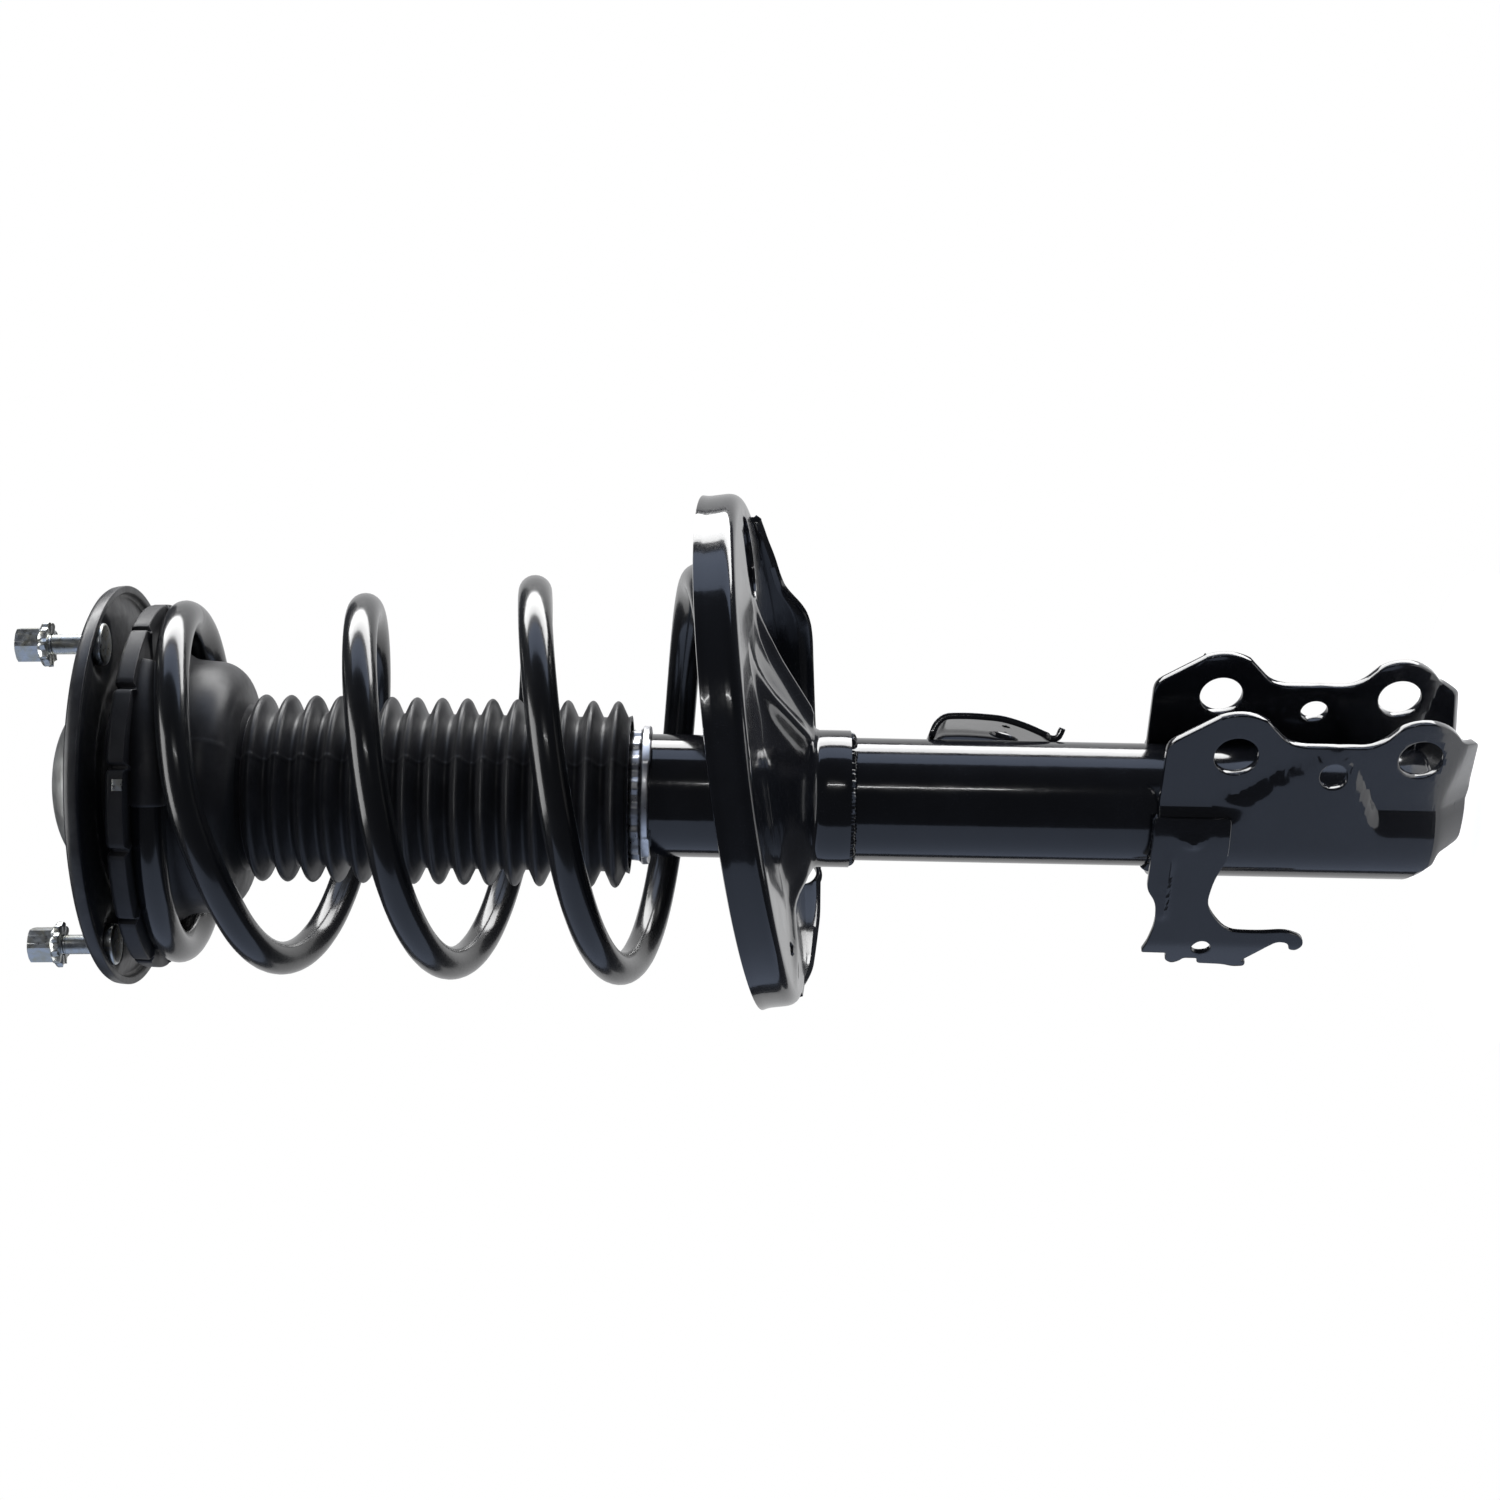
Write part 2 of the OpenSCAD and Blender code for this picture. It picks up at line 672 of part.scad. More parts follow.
module weld_beads() {
    color([0.04, 0.04, 0.045]) {
        bead(neck_end_z, -1, 0, 175);
        bead(neck_end_z, -1, 185, 355);
        bead(clevis_top_z, 1, 60, 170);
        bead(clevis_top_z, 1, 190, 300);
    }
}

mount_plate();
mount_studs();
stud_nuts();
mount_housing();
mount_rubber();
mount_sleeve();
cup_washer();
rod_nut();
bearing_cover();
bearing_balls();
bump_cup();
bump_stop();
piston_rod();
rebound_stop();
piston();
piston_band();
piston_nut();
bearing_ring();
upper_seat();
upper_insulator();
coil_spring();
dust_boot();
outer_tube();
inner_tube();
base_valve();
rod_guide();
rod_seal();
cap_ring();
bottom_cap();
lower_seat();
lower_insulator();
link_bracket();
knuckle_clevis();
hose_bracket();
weld_beads();
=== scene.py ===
"""Front suspension strut assembly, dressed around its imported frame. Mesh code works in millimetres."""

import json
import math

import bmesh
import bpy
import numpy as np
from bpy.props import FloatProperty, FloatVectorProperty, IntProperty, PointerProperty
from mathutils import Matrix, Vector


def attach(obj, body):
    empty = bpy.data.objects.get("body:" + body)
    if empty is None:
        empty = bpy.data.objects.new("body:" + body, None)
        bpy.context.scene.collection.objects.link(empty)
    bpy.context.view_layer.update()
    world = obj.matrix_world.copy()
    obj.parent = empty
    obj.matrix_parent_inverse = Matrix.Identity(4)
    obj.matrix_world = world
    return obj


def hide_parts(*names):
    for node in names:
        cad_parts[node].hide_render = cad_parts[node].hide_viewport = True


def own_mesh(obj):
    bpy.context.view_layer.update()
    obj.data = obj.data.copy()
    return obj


bl_info = {
    "name": "Strut assembly",
    "version": (1, 0, 0),
    "blender": (4, 5, 0),
    "location": "3D View > Sidebar > Strut",
    "description": "Builds a front suspension strut assembly around its frame",
    "category": "Object",
}

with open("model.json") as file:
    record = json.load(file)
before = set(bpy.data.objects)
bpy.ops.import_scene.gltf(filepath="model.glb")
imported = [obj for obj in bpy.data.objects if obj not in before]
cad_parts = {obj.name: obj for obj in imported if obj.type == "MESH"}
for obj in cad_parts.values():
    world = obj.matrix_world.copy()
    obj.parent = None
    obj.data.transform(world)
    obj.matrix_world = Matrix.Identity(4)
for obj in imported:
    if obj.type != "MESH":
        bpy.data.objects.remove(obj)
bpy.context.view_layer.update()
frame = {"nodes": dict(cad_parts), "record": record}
MM = 0.001
TOP, SEAT, TUBE = "top_mount", "upper_seat_body", "strut_body"


def length(name, description, default):
    return FloatProperty(name=name, description=description, default=default, min=0.0,
                         unit="LENGTH", subtype="DISTANCE")


def colour(name, description, default):
    return FloatVectorProperty(name=name, description=description, default=default, size=3,
                               min=0.0, max=1.0, subtype="COLOR")


class StrutTopMount(bpy.types.PropertyGroup):
    plate: length("Plate radius", "Outer radius of the mount plate", 0.082)
    lip: length("Lip depth", "Depth of the plate's turned-down lip", 0.006)
    sheet: length("Sheet", "Sheet thickness of the plate", 0.003)
    stud: length("Stud radius", "Shank radius of the body studs", 0.004)
    crown: length("Crown height", "Height of the domed centre housing", 0.0226)


class StrutSpring(bpy.types.PropertyGroup):
    wire: length("Wire", "Diameter of the spring wire", 0.0136)
    top_radius: length("Top radius", "Mean coil radius at the top", 0.0702)
    end_radius: length("End radius", "Mean coil radius at the lower end", 0.0805)
    pitch: length("Pitch", "Pitch of the active coils", 0.070)


class StrutBoot(bpy.types.PropertyGroup):
    folds: IntProperty(name="Folds", description="Number of folds in the dust boot", default=15, min=8)
    radius: length("Fold radius", "Outer radius of the folds", 0.039)
    depth: length("Fold depth", "Depth of each fold", 0.007)


class StrutBody(bpy.types.PropertyGroup):
    tube: length("Tube radius", "Outer radius of the strut tube", 0.0254)
    seat: length("Seat radius", "Rim radius of the lower spring seat", 0.105)
    sheet: length("Seat sheet", "Sheet thickness of the lower seat", 0.0028)
    ear_sheet: length("Clevis sheet", "Sheet thickness of the knuckle clevis", 0.0036)
    bolt_hole: length("Bolt hole", "Radius of the knuckle bolt holes", 0.00875)


class StrutFinishes(bpy.types.PropertyGroup):
    paint: colour("Gloss paint", "Colour of the tube, seat and brackets", (0.010, 0.011, 0.014))
    coat: colour("Spring coat", "Colour of the spring's powder coat", (0.008, 0.0085, 0.010))
    plate: colour("Plate paint", "Colour of the mount plate", (0.020, 0.021, 0.024))
    rubber: colour("Rubber", "Colour of the boot and the rubber rings", (0.022, 0.022, 0.024))
    zinc: colour("Zinc", "Colour of the plated studs and nuts", (0.62, 0.65, 0.67))
    aluminium: colour("Aluminium", "Colour of the cap ring", (0.80, 0.81, 0.83))


class StrutSettings(bpy.types.PropertyGroup):
    mount: PointerProperty(type=StrutTopMount, name="Top mount", description="Top mount sizes")
    spring: PointerProperty(type=StrutSpring, name="Spring", description="Coil spring sizes")
    boot: PointerProperty(type=StrutBoot, name="Boot", description="Dust boot sizes")
    body: PointerProperty(type=StrutBody, name="Strut body", description="Strut body sizes")
    finishes: PointerProperty(type=StrutFinishes, name="Finishes", description="Colours")


# ---- mesh making ----

def smoothstep(t):
    t = np.clip(t, 0.0, 1.0)
    return t * t * (3 - 2 * t)


def polar(r, a, z):
    """Points at radius r, angle a and height z."""
    x = r * np.cos(a)
    return np.column_stack([x, r * np.sin(a), np.broadcast_to(z, x.shape)])


def turn_y(points, degrees):
    """Leans points about the Y axis, knuckle side up for a positive angle."""
    c, s = math.cos(math.radians(degrees)), math.sin(math.radians(degrees))
    p = np.asarray(points, float)
    return np.column_stack([p[:, 0] * c - p[:, 2] * s, p[:, 1], p[:, 0] * s + p[:, 2] * c])


def turn_z(points, degrees):
    c, s = math.cos(math.radians(degrees)), math.sin(math.radians(degrees))
    p = np.asarray(points, float)
    return np.column_stack([p[:, 0] * c - p[:, 1] * s, p[:, 0] * s + p[:, 1] * c, p[:, 2]])


def grid_faces(rows, columns, close_rows=False, close_columns=True):
    r = np.arange(rows if close_rows else rows - 1)[:, None]
    c = np.arange(columns if close_columns else columns - 1)[None, :]
    r2, c2 = (r + 1) % rows, (c + 1) % columns
    quads = np.stack([r * columns + c, r * columns + c2, r2 * columns + c2, r2 * columns + c], -1)
    return quads.reshape(-1, 4).tolist()


def add_object(name, data):
    made = bpy.data.objects.new(name, data)
    bpy.context.scene.collection.objects.link(made)
    return made


def make_piece(name, points, faces, sharp=40):
    """A smooth-shaded mesh object from points in millimetres, with outward faces."""
    mesh = bpy.data.meshes.new(name)
    mesh.from_pydata((np.asarray(points, float) * MM).tolist(), [], faces)
    return shade(with_bmesh(add_object(name, mesh)), sharp)


def with_bmesh(piece, change=lambda bm: None):
    """Makes a change to a piece's mesh, if there is one, and turns the faces outward."""
    bm = bmesh.new()
    bm.from_mesh(piece.data)
    change(bm)
    bmesh.ops.recalc_face_normals(bm, faces=bm.faces)
    bm.to_mesh(piece.data)
    bm.free()
    piece.data.update()
    return piece


def shade(piece, sharp=40):
    piece.data.shade_smooth()
    piece.data.set_sharp_from_angle(angle=math.radians(sharp))
    return piece


def apply_modifiers(piece):
    graph = bpy.context.evaluated_depsgraph_get()
    mesh = bpy.data.meshes.new_from_object(piece.evaluated_get(graph))
    piece.modifiers.clear()
    piece.data = mesh
    return shade(piece)


def thicken(piece, sheet, offset):
    """Gives a surface its sheet thickness, on one side (-1) or half on each (0)."""
    solid = piece.modifiers.new("sheet", "SOLIDIFY")
    solid.thickness, solid.offset, solid.use_even_offset = sheet * MM, offset, True
    return apply_modifiers(piece)


def soften_edges(piece, width):
    """Rounds the edges that turn by more than 50 degrees."""
    bevel = piece.modifiers.new("edges", "BEVEL")
    bevel.width, bevel.segments, bevel.limit_method = width * MM, 2, "ANGLE"
    bevel.angle_limit = math.radians(50)
    return apply_modifiers(piece)


def drill(piece, centre, direction, radius, depth, sides=48):
    """Cuts a round hole through the piece, along direction, both ways from centre."""
    along = Vector(direction).normalized()
    ring = [(radius * math.cos(a), radius * math.sin(a))
            for a in np.linspace(0, 2 * math.pi, sides, endpoint=False)]
    points = [(x, y, z) for z in (-depth / 2, depth / 2) for x, y in ring]
    faces = grid_faces(2, sides) + [list(range(sides))[::-1], list(range(sides, 2 * sides))]
    tool = make_piece("tool", points, faces)
    swing = along.to_track_quat("Z", "Y").to_matrix().to_4x4()
    tool.matrix_world = Matrix.Translation(Vector(centre) * MM) @ swing
    return cut_with(piece, tool)


def cut_with(piece, tool):
    bpy.context.view_layer.update()
    cut = piece.modifiers.new("cut", "BOOLEAN")
    cut.operation, cut.object, cut.solver = "DIFFERENCE", tool, "EXACT"
    apply_modifiers(piece)
    bpy.data.objects.remove(tool)
    return piece


def join(name, parts):
    """One object from several, in the row frame."""
    bm = bmesh.new()
    for part in parts:
        bm.from_mesh(part.data)
    mesh = bpy.data.meshes.new(name)
    bm.to_mesh(mesh)
    bm.free()
    for part in parts:
        bpy.data.objects.remove(part)
    return shade(add_object(name, mesh))


def rounded(path, radius, closed=False, steps=4):
    """A polyline with each corner eased into a short curve. radius is one number or one per corner."""
    p = np.asarray(path, float)
    n = len(p)
    radii = np.broadcast_to(np.asarray(radius, float), (n,))
    out = []
    for i in range(n):
        if not closed and i in (0, n - 1) or radii[i] <= 0:
            out.append(p[i])
            continue
        a, b = p[i - 1] - p[i], p[(i + 1) % n] - p[i]
        la, lb = np.linalg.norm(a), np.linalg.norm(b)
        reach = min(radii[i], 0.48 * la, 0.48 * lb)
        start, end = p[i] + a / la * reach, p[i] + b / lb * reach
        for t in np.linspace(0, 1, steps + 1):
            out.append((1 - t) ** 2 * start + 2 * t * (1 - t) * p[i] + t * t * end)
    return np.array(out)


def arc(centre, radius, start, end, steps):
    a = np.radians(np.linspace(start, end, steps))
    return [(centre[0] + radius * math.cos(t), centre[1] + radius * math.sin(t)) for t in a]


def lathe(name, profile, segments=128, shape=None, lean=0.0, sharp=40):
    """Turns a closed (r, z) profile about Z. shape(angle, r, z) may move each point."""
    profile = np.asarray(profile, float)
    angle = np.linspace(0, 2 * math.pi, segments, endpoint=False)
    r, a = np.repeat(profile[:, 0], segments), np.tile(angle, len(profile))
    z = np.repeat(profile[:, 1], segments)
    if shape:
        r, z = shape(a, r, z)
    faces = grid_faces(len(profile), segments, close_rows=True)
    return make_piece(name, turn_y(polar(r, a, z), lean), faces, sharp)


def sweep(name, centres, radius, sides=24):
    """A round wire along the centres, with a blunt rounded end past each last centre."""
    c = np.asarray(centres, float)
    tangent = np.gradient(c, axis=0)
    tangent /= np.linalg.norm(tangent, axis=1)[:, None]
    out = np.cross((0.0, 0.0, 1.0), tangent)
    out /= np.linalg.norm(out, axis=1)[:, None]
    up = np.cross(tangent, out)
    a = np.linspace(0, 2 * math.pi, sides, endpoint=False)
    ring = np.cos(a)[None, :, None] * out[:, None, :] + np.sin(a)[None, :, None] * up[:, None, :]
    rings = [c[i] + radius * ring[i] for i in range(len(c))]
    end_length, end_taper, end_rings = 1.6, 0.16, 5
    chamfer = [(radius * (1 - end_taper * k * k / end_rings ** 2), end_length * k / end_rings)
               for k in range(1, end_rings + 1)]
    before = [c[0] - tangent[0] * d + r * ring[0] for r, d in reversed(chamfer)]
    after = [c[-1] + tangent[-1] * d + r * ring[-1] for r, d in chamfer]
    rings = before + rings + after
    faces = grid_faces(len(rings), sides)
    last = (len(rings) - 1) * sides
    faces += [list(range(sides))[::-1], list(range(last, last + sides))]
    return make_piece(name, np.concatenate(rings), faces, 60)


def blank(name, outline, holes, sheet, edge, cuts_x, cuts_y):
    """A flat blank in XY with soft edges, scored along X and Y so that it can be bent."""
    curve = bpy.data.curves.new(name, "CURVE")
    curve.dimensions, curve.fill_mode = "2D", "BOTH"
    for loop in [outline] + list(holes):
        spline = curve.splines.new("POLY")
        spline.points.add(len(loop) - 1)
        for point, (x, y) in zip(spline.points, loop):
            point.co = (x * MM, y * MM, 0.0, 1.0)
        spline.use_cyclic_u = True
    curve.extrude, curve.bevel_depth = (sheet / 2 - edge) * MM, edge * MM
    curve.bevel_resolution, curve.offset = 2, -edge * MM
    flat = add_object(name, curve)
    graph = bpy.context.evaluated_depsgraph_get()
    mesh = bpy.data.meshes.new_from_object(flat.evaluated_get(graph))
    bpy.data.objects.remove(flat)

    def score(bm):
        bmesh.ops.remove_doubles(bm, verts=bm.verts, dist=1e-6)
        for axis, places in ((Vector((1, 0, 0)), cuts_x), (Vector((0, 1, 0)), cuts_y)):
            for place in places:
                bmesh.ops.bisect_plane(bm, geom=bm.verts[:] + bm.edges[:] + bm.faces[:], dist=1e-7,
                                       plane_co=axis * place * MM, plane_no=axis)
    return with_bmesh(add_object(name, mesh), score)


def bend(piece, surface, sharp=40):
    """Maps a flat blank (x, y, height) onto surface(x, y) -> points, keeping height along the normal."""
    n = len(piece.data.vertices)
    flat = np.zeros(n * 3)
    piece.data.vertices.foreach_get("co", flat)
    flat = flat.reshape(-1, 3) / MM
    x, y, h = flat.T
    d = 0.05
    along_x = surface(x + d, y) - surface(x - d, y)
    along_y = surface(x, y + d) - surface(x, y - d)
    normal = np.cross(along_x, along_y)
    normal /= np.linalg.norm(normal, axis=1)[:, None]
    piece.data.vertices.foreach_set("co", ((surface(x, y) + normal * h[:, None]) * MM).ravel())
    piece.data.update()
    return shade(with_bmesh(piece), sharp)


def circle(x, y, radius, sides=40):
    return arc((x, y), radius, 0, 360 * (1 - 1 / sides), sides)


def run_along(path):
    """The distance from the start to each point of a polyline."""
    return np.concatenate([[0], np.cumsum(np.linalg.norm(np.diff(path, axis=0), axis=1))])


def follow(path, distance):
    """Points at distances along a polyline of (a, b) pairs, which runs straight on past its ends."""
    p, run = np.asarray(path, float), run_along(path)
    past_ends = (distance - np.clip(distance, 0, run[-1]))[:, None]
    first, last = (p[1] - p[0]) / (run[1] - run[0]), (p[-1] - p[-2]) / (run[-1] - run[-2])
    spill = np.where(past_ends < 0, first, last) * past_ends
    return np.column_stack([np.interp(distance, run, p[:, 0]), np.interp(distance, run, p[:, 1])]) + spill


def hexagon(name, across, low, high, bore, flats_turn=0.0):
    """A hex nut body with chamfered corners on both faces."""
    sides = 72
    a = np.linspace(0, 2 * math.pi, sides, endpoint=False)
    flat = across / 2 / np.cos((a + math.radians(flats_turn)) % (math.pi / 3) - math.pi / 6)
    round_r = across / 2 * 1.03
    middle = (low + high) / 2
    rings = [(bore, low), (bore + 0.6, low), ("face", low), ("hex", low), ("hex", high), ("face", high),
             (bore + 0.8, high), (bore, high - 0.8)]
    points = []
    for kind, z in rings:
        if kind == "face":
            r = np.minimum(flat, round_r)
        elif kind == "hex":
            r = flat
            drop = np.clip(flat - round_r, 0, None) * 0.6
            z = z + np.where(z > middle, -drop, drop) - (0.05 if z > middle else -0.05)
        else:
            r = np.full_like(a, kind)
        points.append(polar(r, a, z))
    return make_piece(name, np.concatenate(points), grid_faces(len(rings), sides, close_rows=True), 30)


def place(part, points_of):
    """Moves a part's points with a function of an (n, 3) array in millimetres."""
    co = np.zeros(len(part.data.vertices) * 3)
    part.data.vertices.foreach_get("co", co)
    part.data.vertices.foreach_set("co", (points_of(co.reshape(-1, 3) / MM) * MM).ravel())
    part.data.update()
    return part


def copies(name, part, movers):
    """The same part several times over, as one object."""
    made = []
    for move in movers:
        made.append(place(add_object(name, part.data.copy()), move))
    bpy.data.objects.remove(part)
    return join(name, made)


# ---- finishes ----

class Finish:
    """A node-based material: one Principled shader, with textures in the piece's own frame."""

    def __init__(self, name, **sockets):
        self.material = bpy.data.materials.new(name)
        self.material.use_nodes = True
        self.tree = self.material.node_tree
        self.shader = self.tree.nodes["Principled BSDF"]
        for socket, value in sockets.items():
            self.shader.inputs[socket.replace("_", " ")].default_value = value
        self.place = self.tree.nodes.new("ShaderNodeTexCoord").outputs["Object"]

    def node(self, kind, links=(), **settings):
        made = self.tree.nodes.new("ShaderNode" + kind)
        for key, value in settings.items():
            if key[0].isupper():
                made.inputs[key.replace("_", " ")].default_value = value
            else:
                setattr(made, key, value)
        for socket, source in dict(links).items():
            self.tree.links.new(source, made.inputs[socket])
        return made

    def stretched(self, x, y, z):
        return self.node("Mapping", {"Vector": self.place}, Scale=(x, y, z)).outputs["Vector"]

    def noise(self, scale, detail=3.0, rough=0.55, where=None, distort=0.0):
        return self.node("TexNoise", {"Vector": where or self.place}, Scale=scale, Detail=detail,
                         Roughness=rough, Distortion=distort).outputs["Fac"]

    def ramp(self, source, *stops):
        """A colour or grey ramp: stops are (position, value) pairs."""
        ramp = self.node("ValToRGB", {"Fac": source})
        points = ramp.color_ramp.elements
        while len(points) < len(stops):
            points.new(0.5)
        for point, (position, value) in zip(points, stops):
            point.position = position
            point.color = (*value, 1.0) if isinstance(value, tuple) else (value, value, value, 1.0)
        return ramp.outputs["Color"]

    def blend(self, factor, a, b):
        mix = self.node("MixRGB", {"Fac": factor}, blend_type="MIX")
        for socket, value in (("Color1", a), ("Color2", b)):
            if isinstance(value, tuple):
                mix.inputs[socket].default_value = (*value, 1.0)
            else:
                self.tree.links.new(value, mix.inputs[socket])
        return mix.outputs["Color"]

    def set(self, socket, source):
        self.tree.links.new(source, self.shader.inputs[socket])
        return self

    def bumps(self, *layers):
        """Stacks bump layers: each is (height, strength, distance in mm)."""
        normal = None
        for height, strength, distance in layers:
            links = {"Height": height}
            if normal:
                links["Normal"] = normal
            normal = self.node("Bump", links, Strength=strength, Distance=distance * MM).outputs["Normal"]
        return self.set("Normal", normal)


def gloss_paint(name, base, peel, rough, coat_rough=0.05):
    """Dipped black paint: fine orange peel, faint dust and soft runs in the gloss."""
    f = Finish(name, Specular_IOR_Level=0.5, Coat_Weight=0.6, Coat_Roughness=coat_rough, Coat_IOR=1.5)
    dust = f.ramp(f.noise(1400, 2, 0.6), (0.64, 0.0), (0.76, 1.0))
    settle = f.ramp(f.noise(38, 4, 0.6), (0.45, 0.0), (0.8, 1.0))
    film = f.blend(settle, tuple(base), tuple(c * 1.7 for c in base))
    lighter = tuple(min(1.0, c * 3 + 0.02) for c in base)
    fleck = f.node("Math", {0: dust, 1: settle}, operation="MULTIPLY").outputs[0]
    f.set("Base Color", f.blend(fleck, film, lighter))
    f.set("Roughness", f.ramp(f.noise(60, 5, 0.6), (0.3, rough), (0.8, rough + 0.10)))
    f.bumps((f.noise(150, 2), 0.05, 1.2), (f.noise(520, 2), peel, 0.12))
    return f.material


def dull_paint(name, base):
    """Thin semi-gloss paint over pressed steel, with rubbed and dusty patches."""
    f = Finish(name, Specular_IOR_Level=0.5, Coat_Weight=0.15, Coat_Roughness=0.2)
    rub = f.ramp(f.noise(90, 6, 0.65), (0.5, 0.0), (0.72, 1.0))
    f.set("Base Color", f.blend(rub, tuple(base), tuple(c * 1.9 for c in base)))
    f.set("Roughness", f.ramp(f.noise(160, 5, 0.6), (0.3, 0.30), (0.75, 0.48)))
    f.bumps((f.noise(700, 3), 0.12, 0.15), (f.noise(60, 3), 0.08, 0.8))
    return f.material


def moulded_rubber(name, base, rough, grain=1.0, bloom=0.5):
    """Moulded rubber: fine grain, a greyish bloom and faint flow marks."""
    f = Finish(name, Specular_IOR_Level=0.40, Sheen_Weight=0.04, Sheen_Roughness=0.5)
    haze = f.ramp(f.noise(45, 5, 0.65, distort=0.4), (0.42, 0.0), (0.75, 1.0))
    f.set("Base Color", f.blend(haze, tuple(base), tuple(c * (1 + bloom) + 0.004 for c in base)))
    f.set("Roughness", f.ramp(f.noise(120, 4), (0.3, rough - 0.06), (0.8, rough + 0.10)))
    f.bumps((f.noise(1500, 2), 0.25 * grain, 0.06), (f.noise(180, 3), 0.12 * grain, 0.35))
    return f.material


def plated_steel(name, base, rough, tint=(0.9, 0.82, 0.62)):
    """Zinc-plated steel: cloudy, faintly yellow plating with fine handling marks."""
    f = Finish(name, Metallic=1.0)
    cloud = f.ramp(f.noise(220, 5, 0.6, distort=0.6), (0.42, 0.0), (0.72, 1.0))
    tinted = tuple(c * t for c, t in zip(base, tint))
    f.set("Base Color", f.blend(cloud, tuple(base), tinted))
    f.set("Roughness", f.ramp(f.noise(480, 4), (0.3, rough), (0.75, rough + 0.22)))
    f.bumps((f.noise(900, 4), 0.2, 0.08), (f.noise(2600, 2), 0.15, 0.03))
    return f.material


def turned_metal(name, base, rough, rings=900.0, stain=0.25):
    """Lathe-turned or drawn metal: fine rings round the axis, with light stains."""
    f = Finish(name, Metallic=1.0)
    lines = f.noise(1.0, 2, 0.5, where=f.stretched(6, 6, rings))
    marks = f.noise(70, 6, 0.65, distort=0.5)
    dark = tuple(c * (1 - stain) for c in base)
    f.set("Base Color", f.blend(f.ramp(marks, (0.45, 0.0), (0.7, 1.0)), tuple(base), dark))
    f.set("Roughness", f.ramp(f.noise(160, 5), (0.3, rough), (0.75, rough + 0.18)))
    f.bumps((lines, 0.18, 0.05), (f.noise(420, 3), 0.08, 0.1))
    return f.material


def spun_steel(name):
    """The domed housing: bare drawn steel with rings about its own crown and faint blotches."""
    f = Finish(name, Metallic=1.0)
    across = f.node("SeparateXYZ", {"Vector": f.place}).outputs
    squares = [f.node("Math", {0: side, 1: side}, operation="MULTIPLY").outputs[0] for side in across[:2]]
    total = f.node("Math", {0: squares[0], 1: squares[1]}, operation="ADD").outputs[0]
    radius = f.node("Math", {0: total}, operation="SQRT").outputs[0]
    rings = f.node("TexNoise", {"W": radius}, noise_dimensions="1D", Scale=1500.0, Detail=3.0).outputs["Fac"]
    blot = f.ramp(f.noise(55, 6, 0.65, distort=0.6), (0.42, 0.0), (0.72, 1.0))
    f.set("Base Color", f.blend(blot, (0.60, 0.61, 0.60), (0.46, 0.46, 0.44)))
    f.set("Roughness", f.ramp(f.noise(140, 5), (0.3, 0.30), (0.75, 0.46)))
    f.bumps((rings, 0.22, 0.06), (f.noise(300, 3), 0.1, 0.12))
    return f.material


def cast_foam(name):
    """Cellular urethane of the bump stop: pitted skin, with painted shade darkening each pore."""
    f = Finish(name, Roughness=0.7)
    cells = f.node("TexVoronoi", {"Vector": f.place}, Scale=700.0).outputs["Distance"]
    # painted shade: the colour darkens towards the middle of each pit, where the bump sinks deepest
    pore_shade = f.ramp(cells, (0.1, 0.0), (0.5, 1.0))
    f.set("Base Color", f.blend(pore_shade, (0.40, 0.30, 0.14), (0.62, 0.50, 0.27)))
    f.bumps((cells, 0.5, 0.25))
    return f.material


def make_finishes(colours):
    """Every finish, by the name of the record's material slot."""
    zinc, rubber = tuple(colours.zinc), tuple(colours.rubber)
    return {
        "black_paint": gloss_paint("strut gloss black", tuple(colours.paint), 0.05, 0.10),
        "spring_paint": gloss_paint("spring powder coat", tuple(colours.coat), 0.04, 0.18, 0.11),
        "plate_paint": dull_paint("mount plate paint", tuple(colours.plate)),
        "zinc": plated_steel("bright zinc", zinc, 0.24),
        "housing_steel": spun_steel("housing steel"),
        "rubber": moulded_rubber("insulator rubber", rubber, 0.46),
        "boot_rubber": moulded_rubber("boot rubber", rubber, 0.38, 0.6, 0.8),
        "bearing_plastic": moulded_rubber("bearing nylon", (0.03, 0.03, 0.033), 0.42, 0.5, 0.3),
        "ball_steel": turned_metal("bearing ball steel", (0.80, 0.80, 0.82), 0.08, 300.0, 0.05),
        "rod_chrome": turned_metal("hard chrome", (0.82, 0.83, 0.85), 0.06, 1500.0, 0.04),
        "turned_steel": turned_metal("turned steel", (0.50, 0.51, 0.53), 0.28),
        "band_plastic": moulded_rubber("piston band", (0.12, 0.14, 0.12), 0.5, 0.4, 0.3),
        "urethane": cast_foam("bump stop urethane"),
        "cap_aluminium": plated_steel("pressed aluminium", tuple(colours.aluminium), 0.26,
                                      (0.86, 0.86, 0.87)),
    }


finishes = {}


def dress(piece, body, slot, *nodes, squash=None):
    """Gives a piece its finish, its body, its slot and the frame nodes that it stands for."""
    piece.data.materials.clear()
    piece.data.materials.append(finishes[slot])
    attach(piece, body)
    if nodes:
        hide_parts(*nodes)
    if squash:
        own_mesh(piece)
    return piece


# ---- top mount ----

MOUNT_LEAN = 2.0
STUD_REACH = 70.0
STUD_TURNS = (0, 120, 240)


def stud_place(turn):
    return lambda p: turn_y(turn_z(p + (STUD_REACH, 0, 0), turn), MOUNT_LEAN)


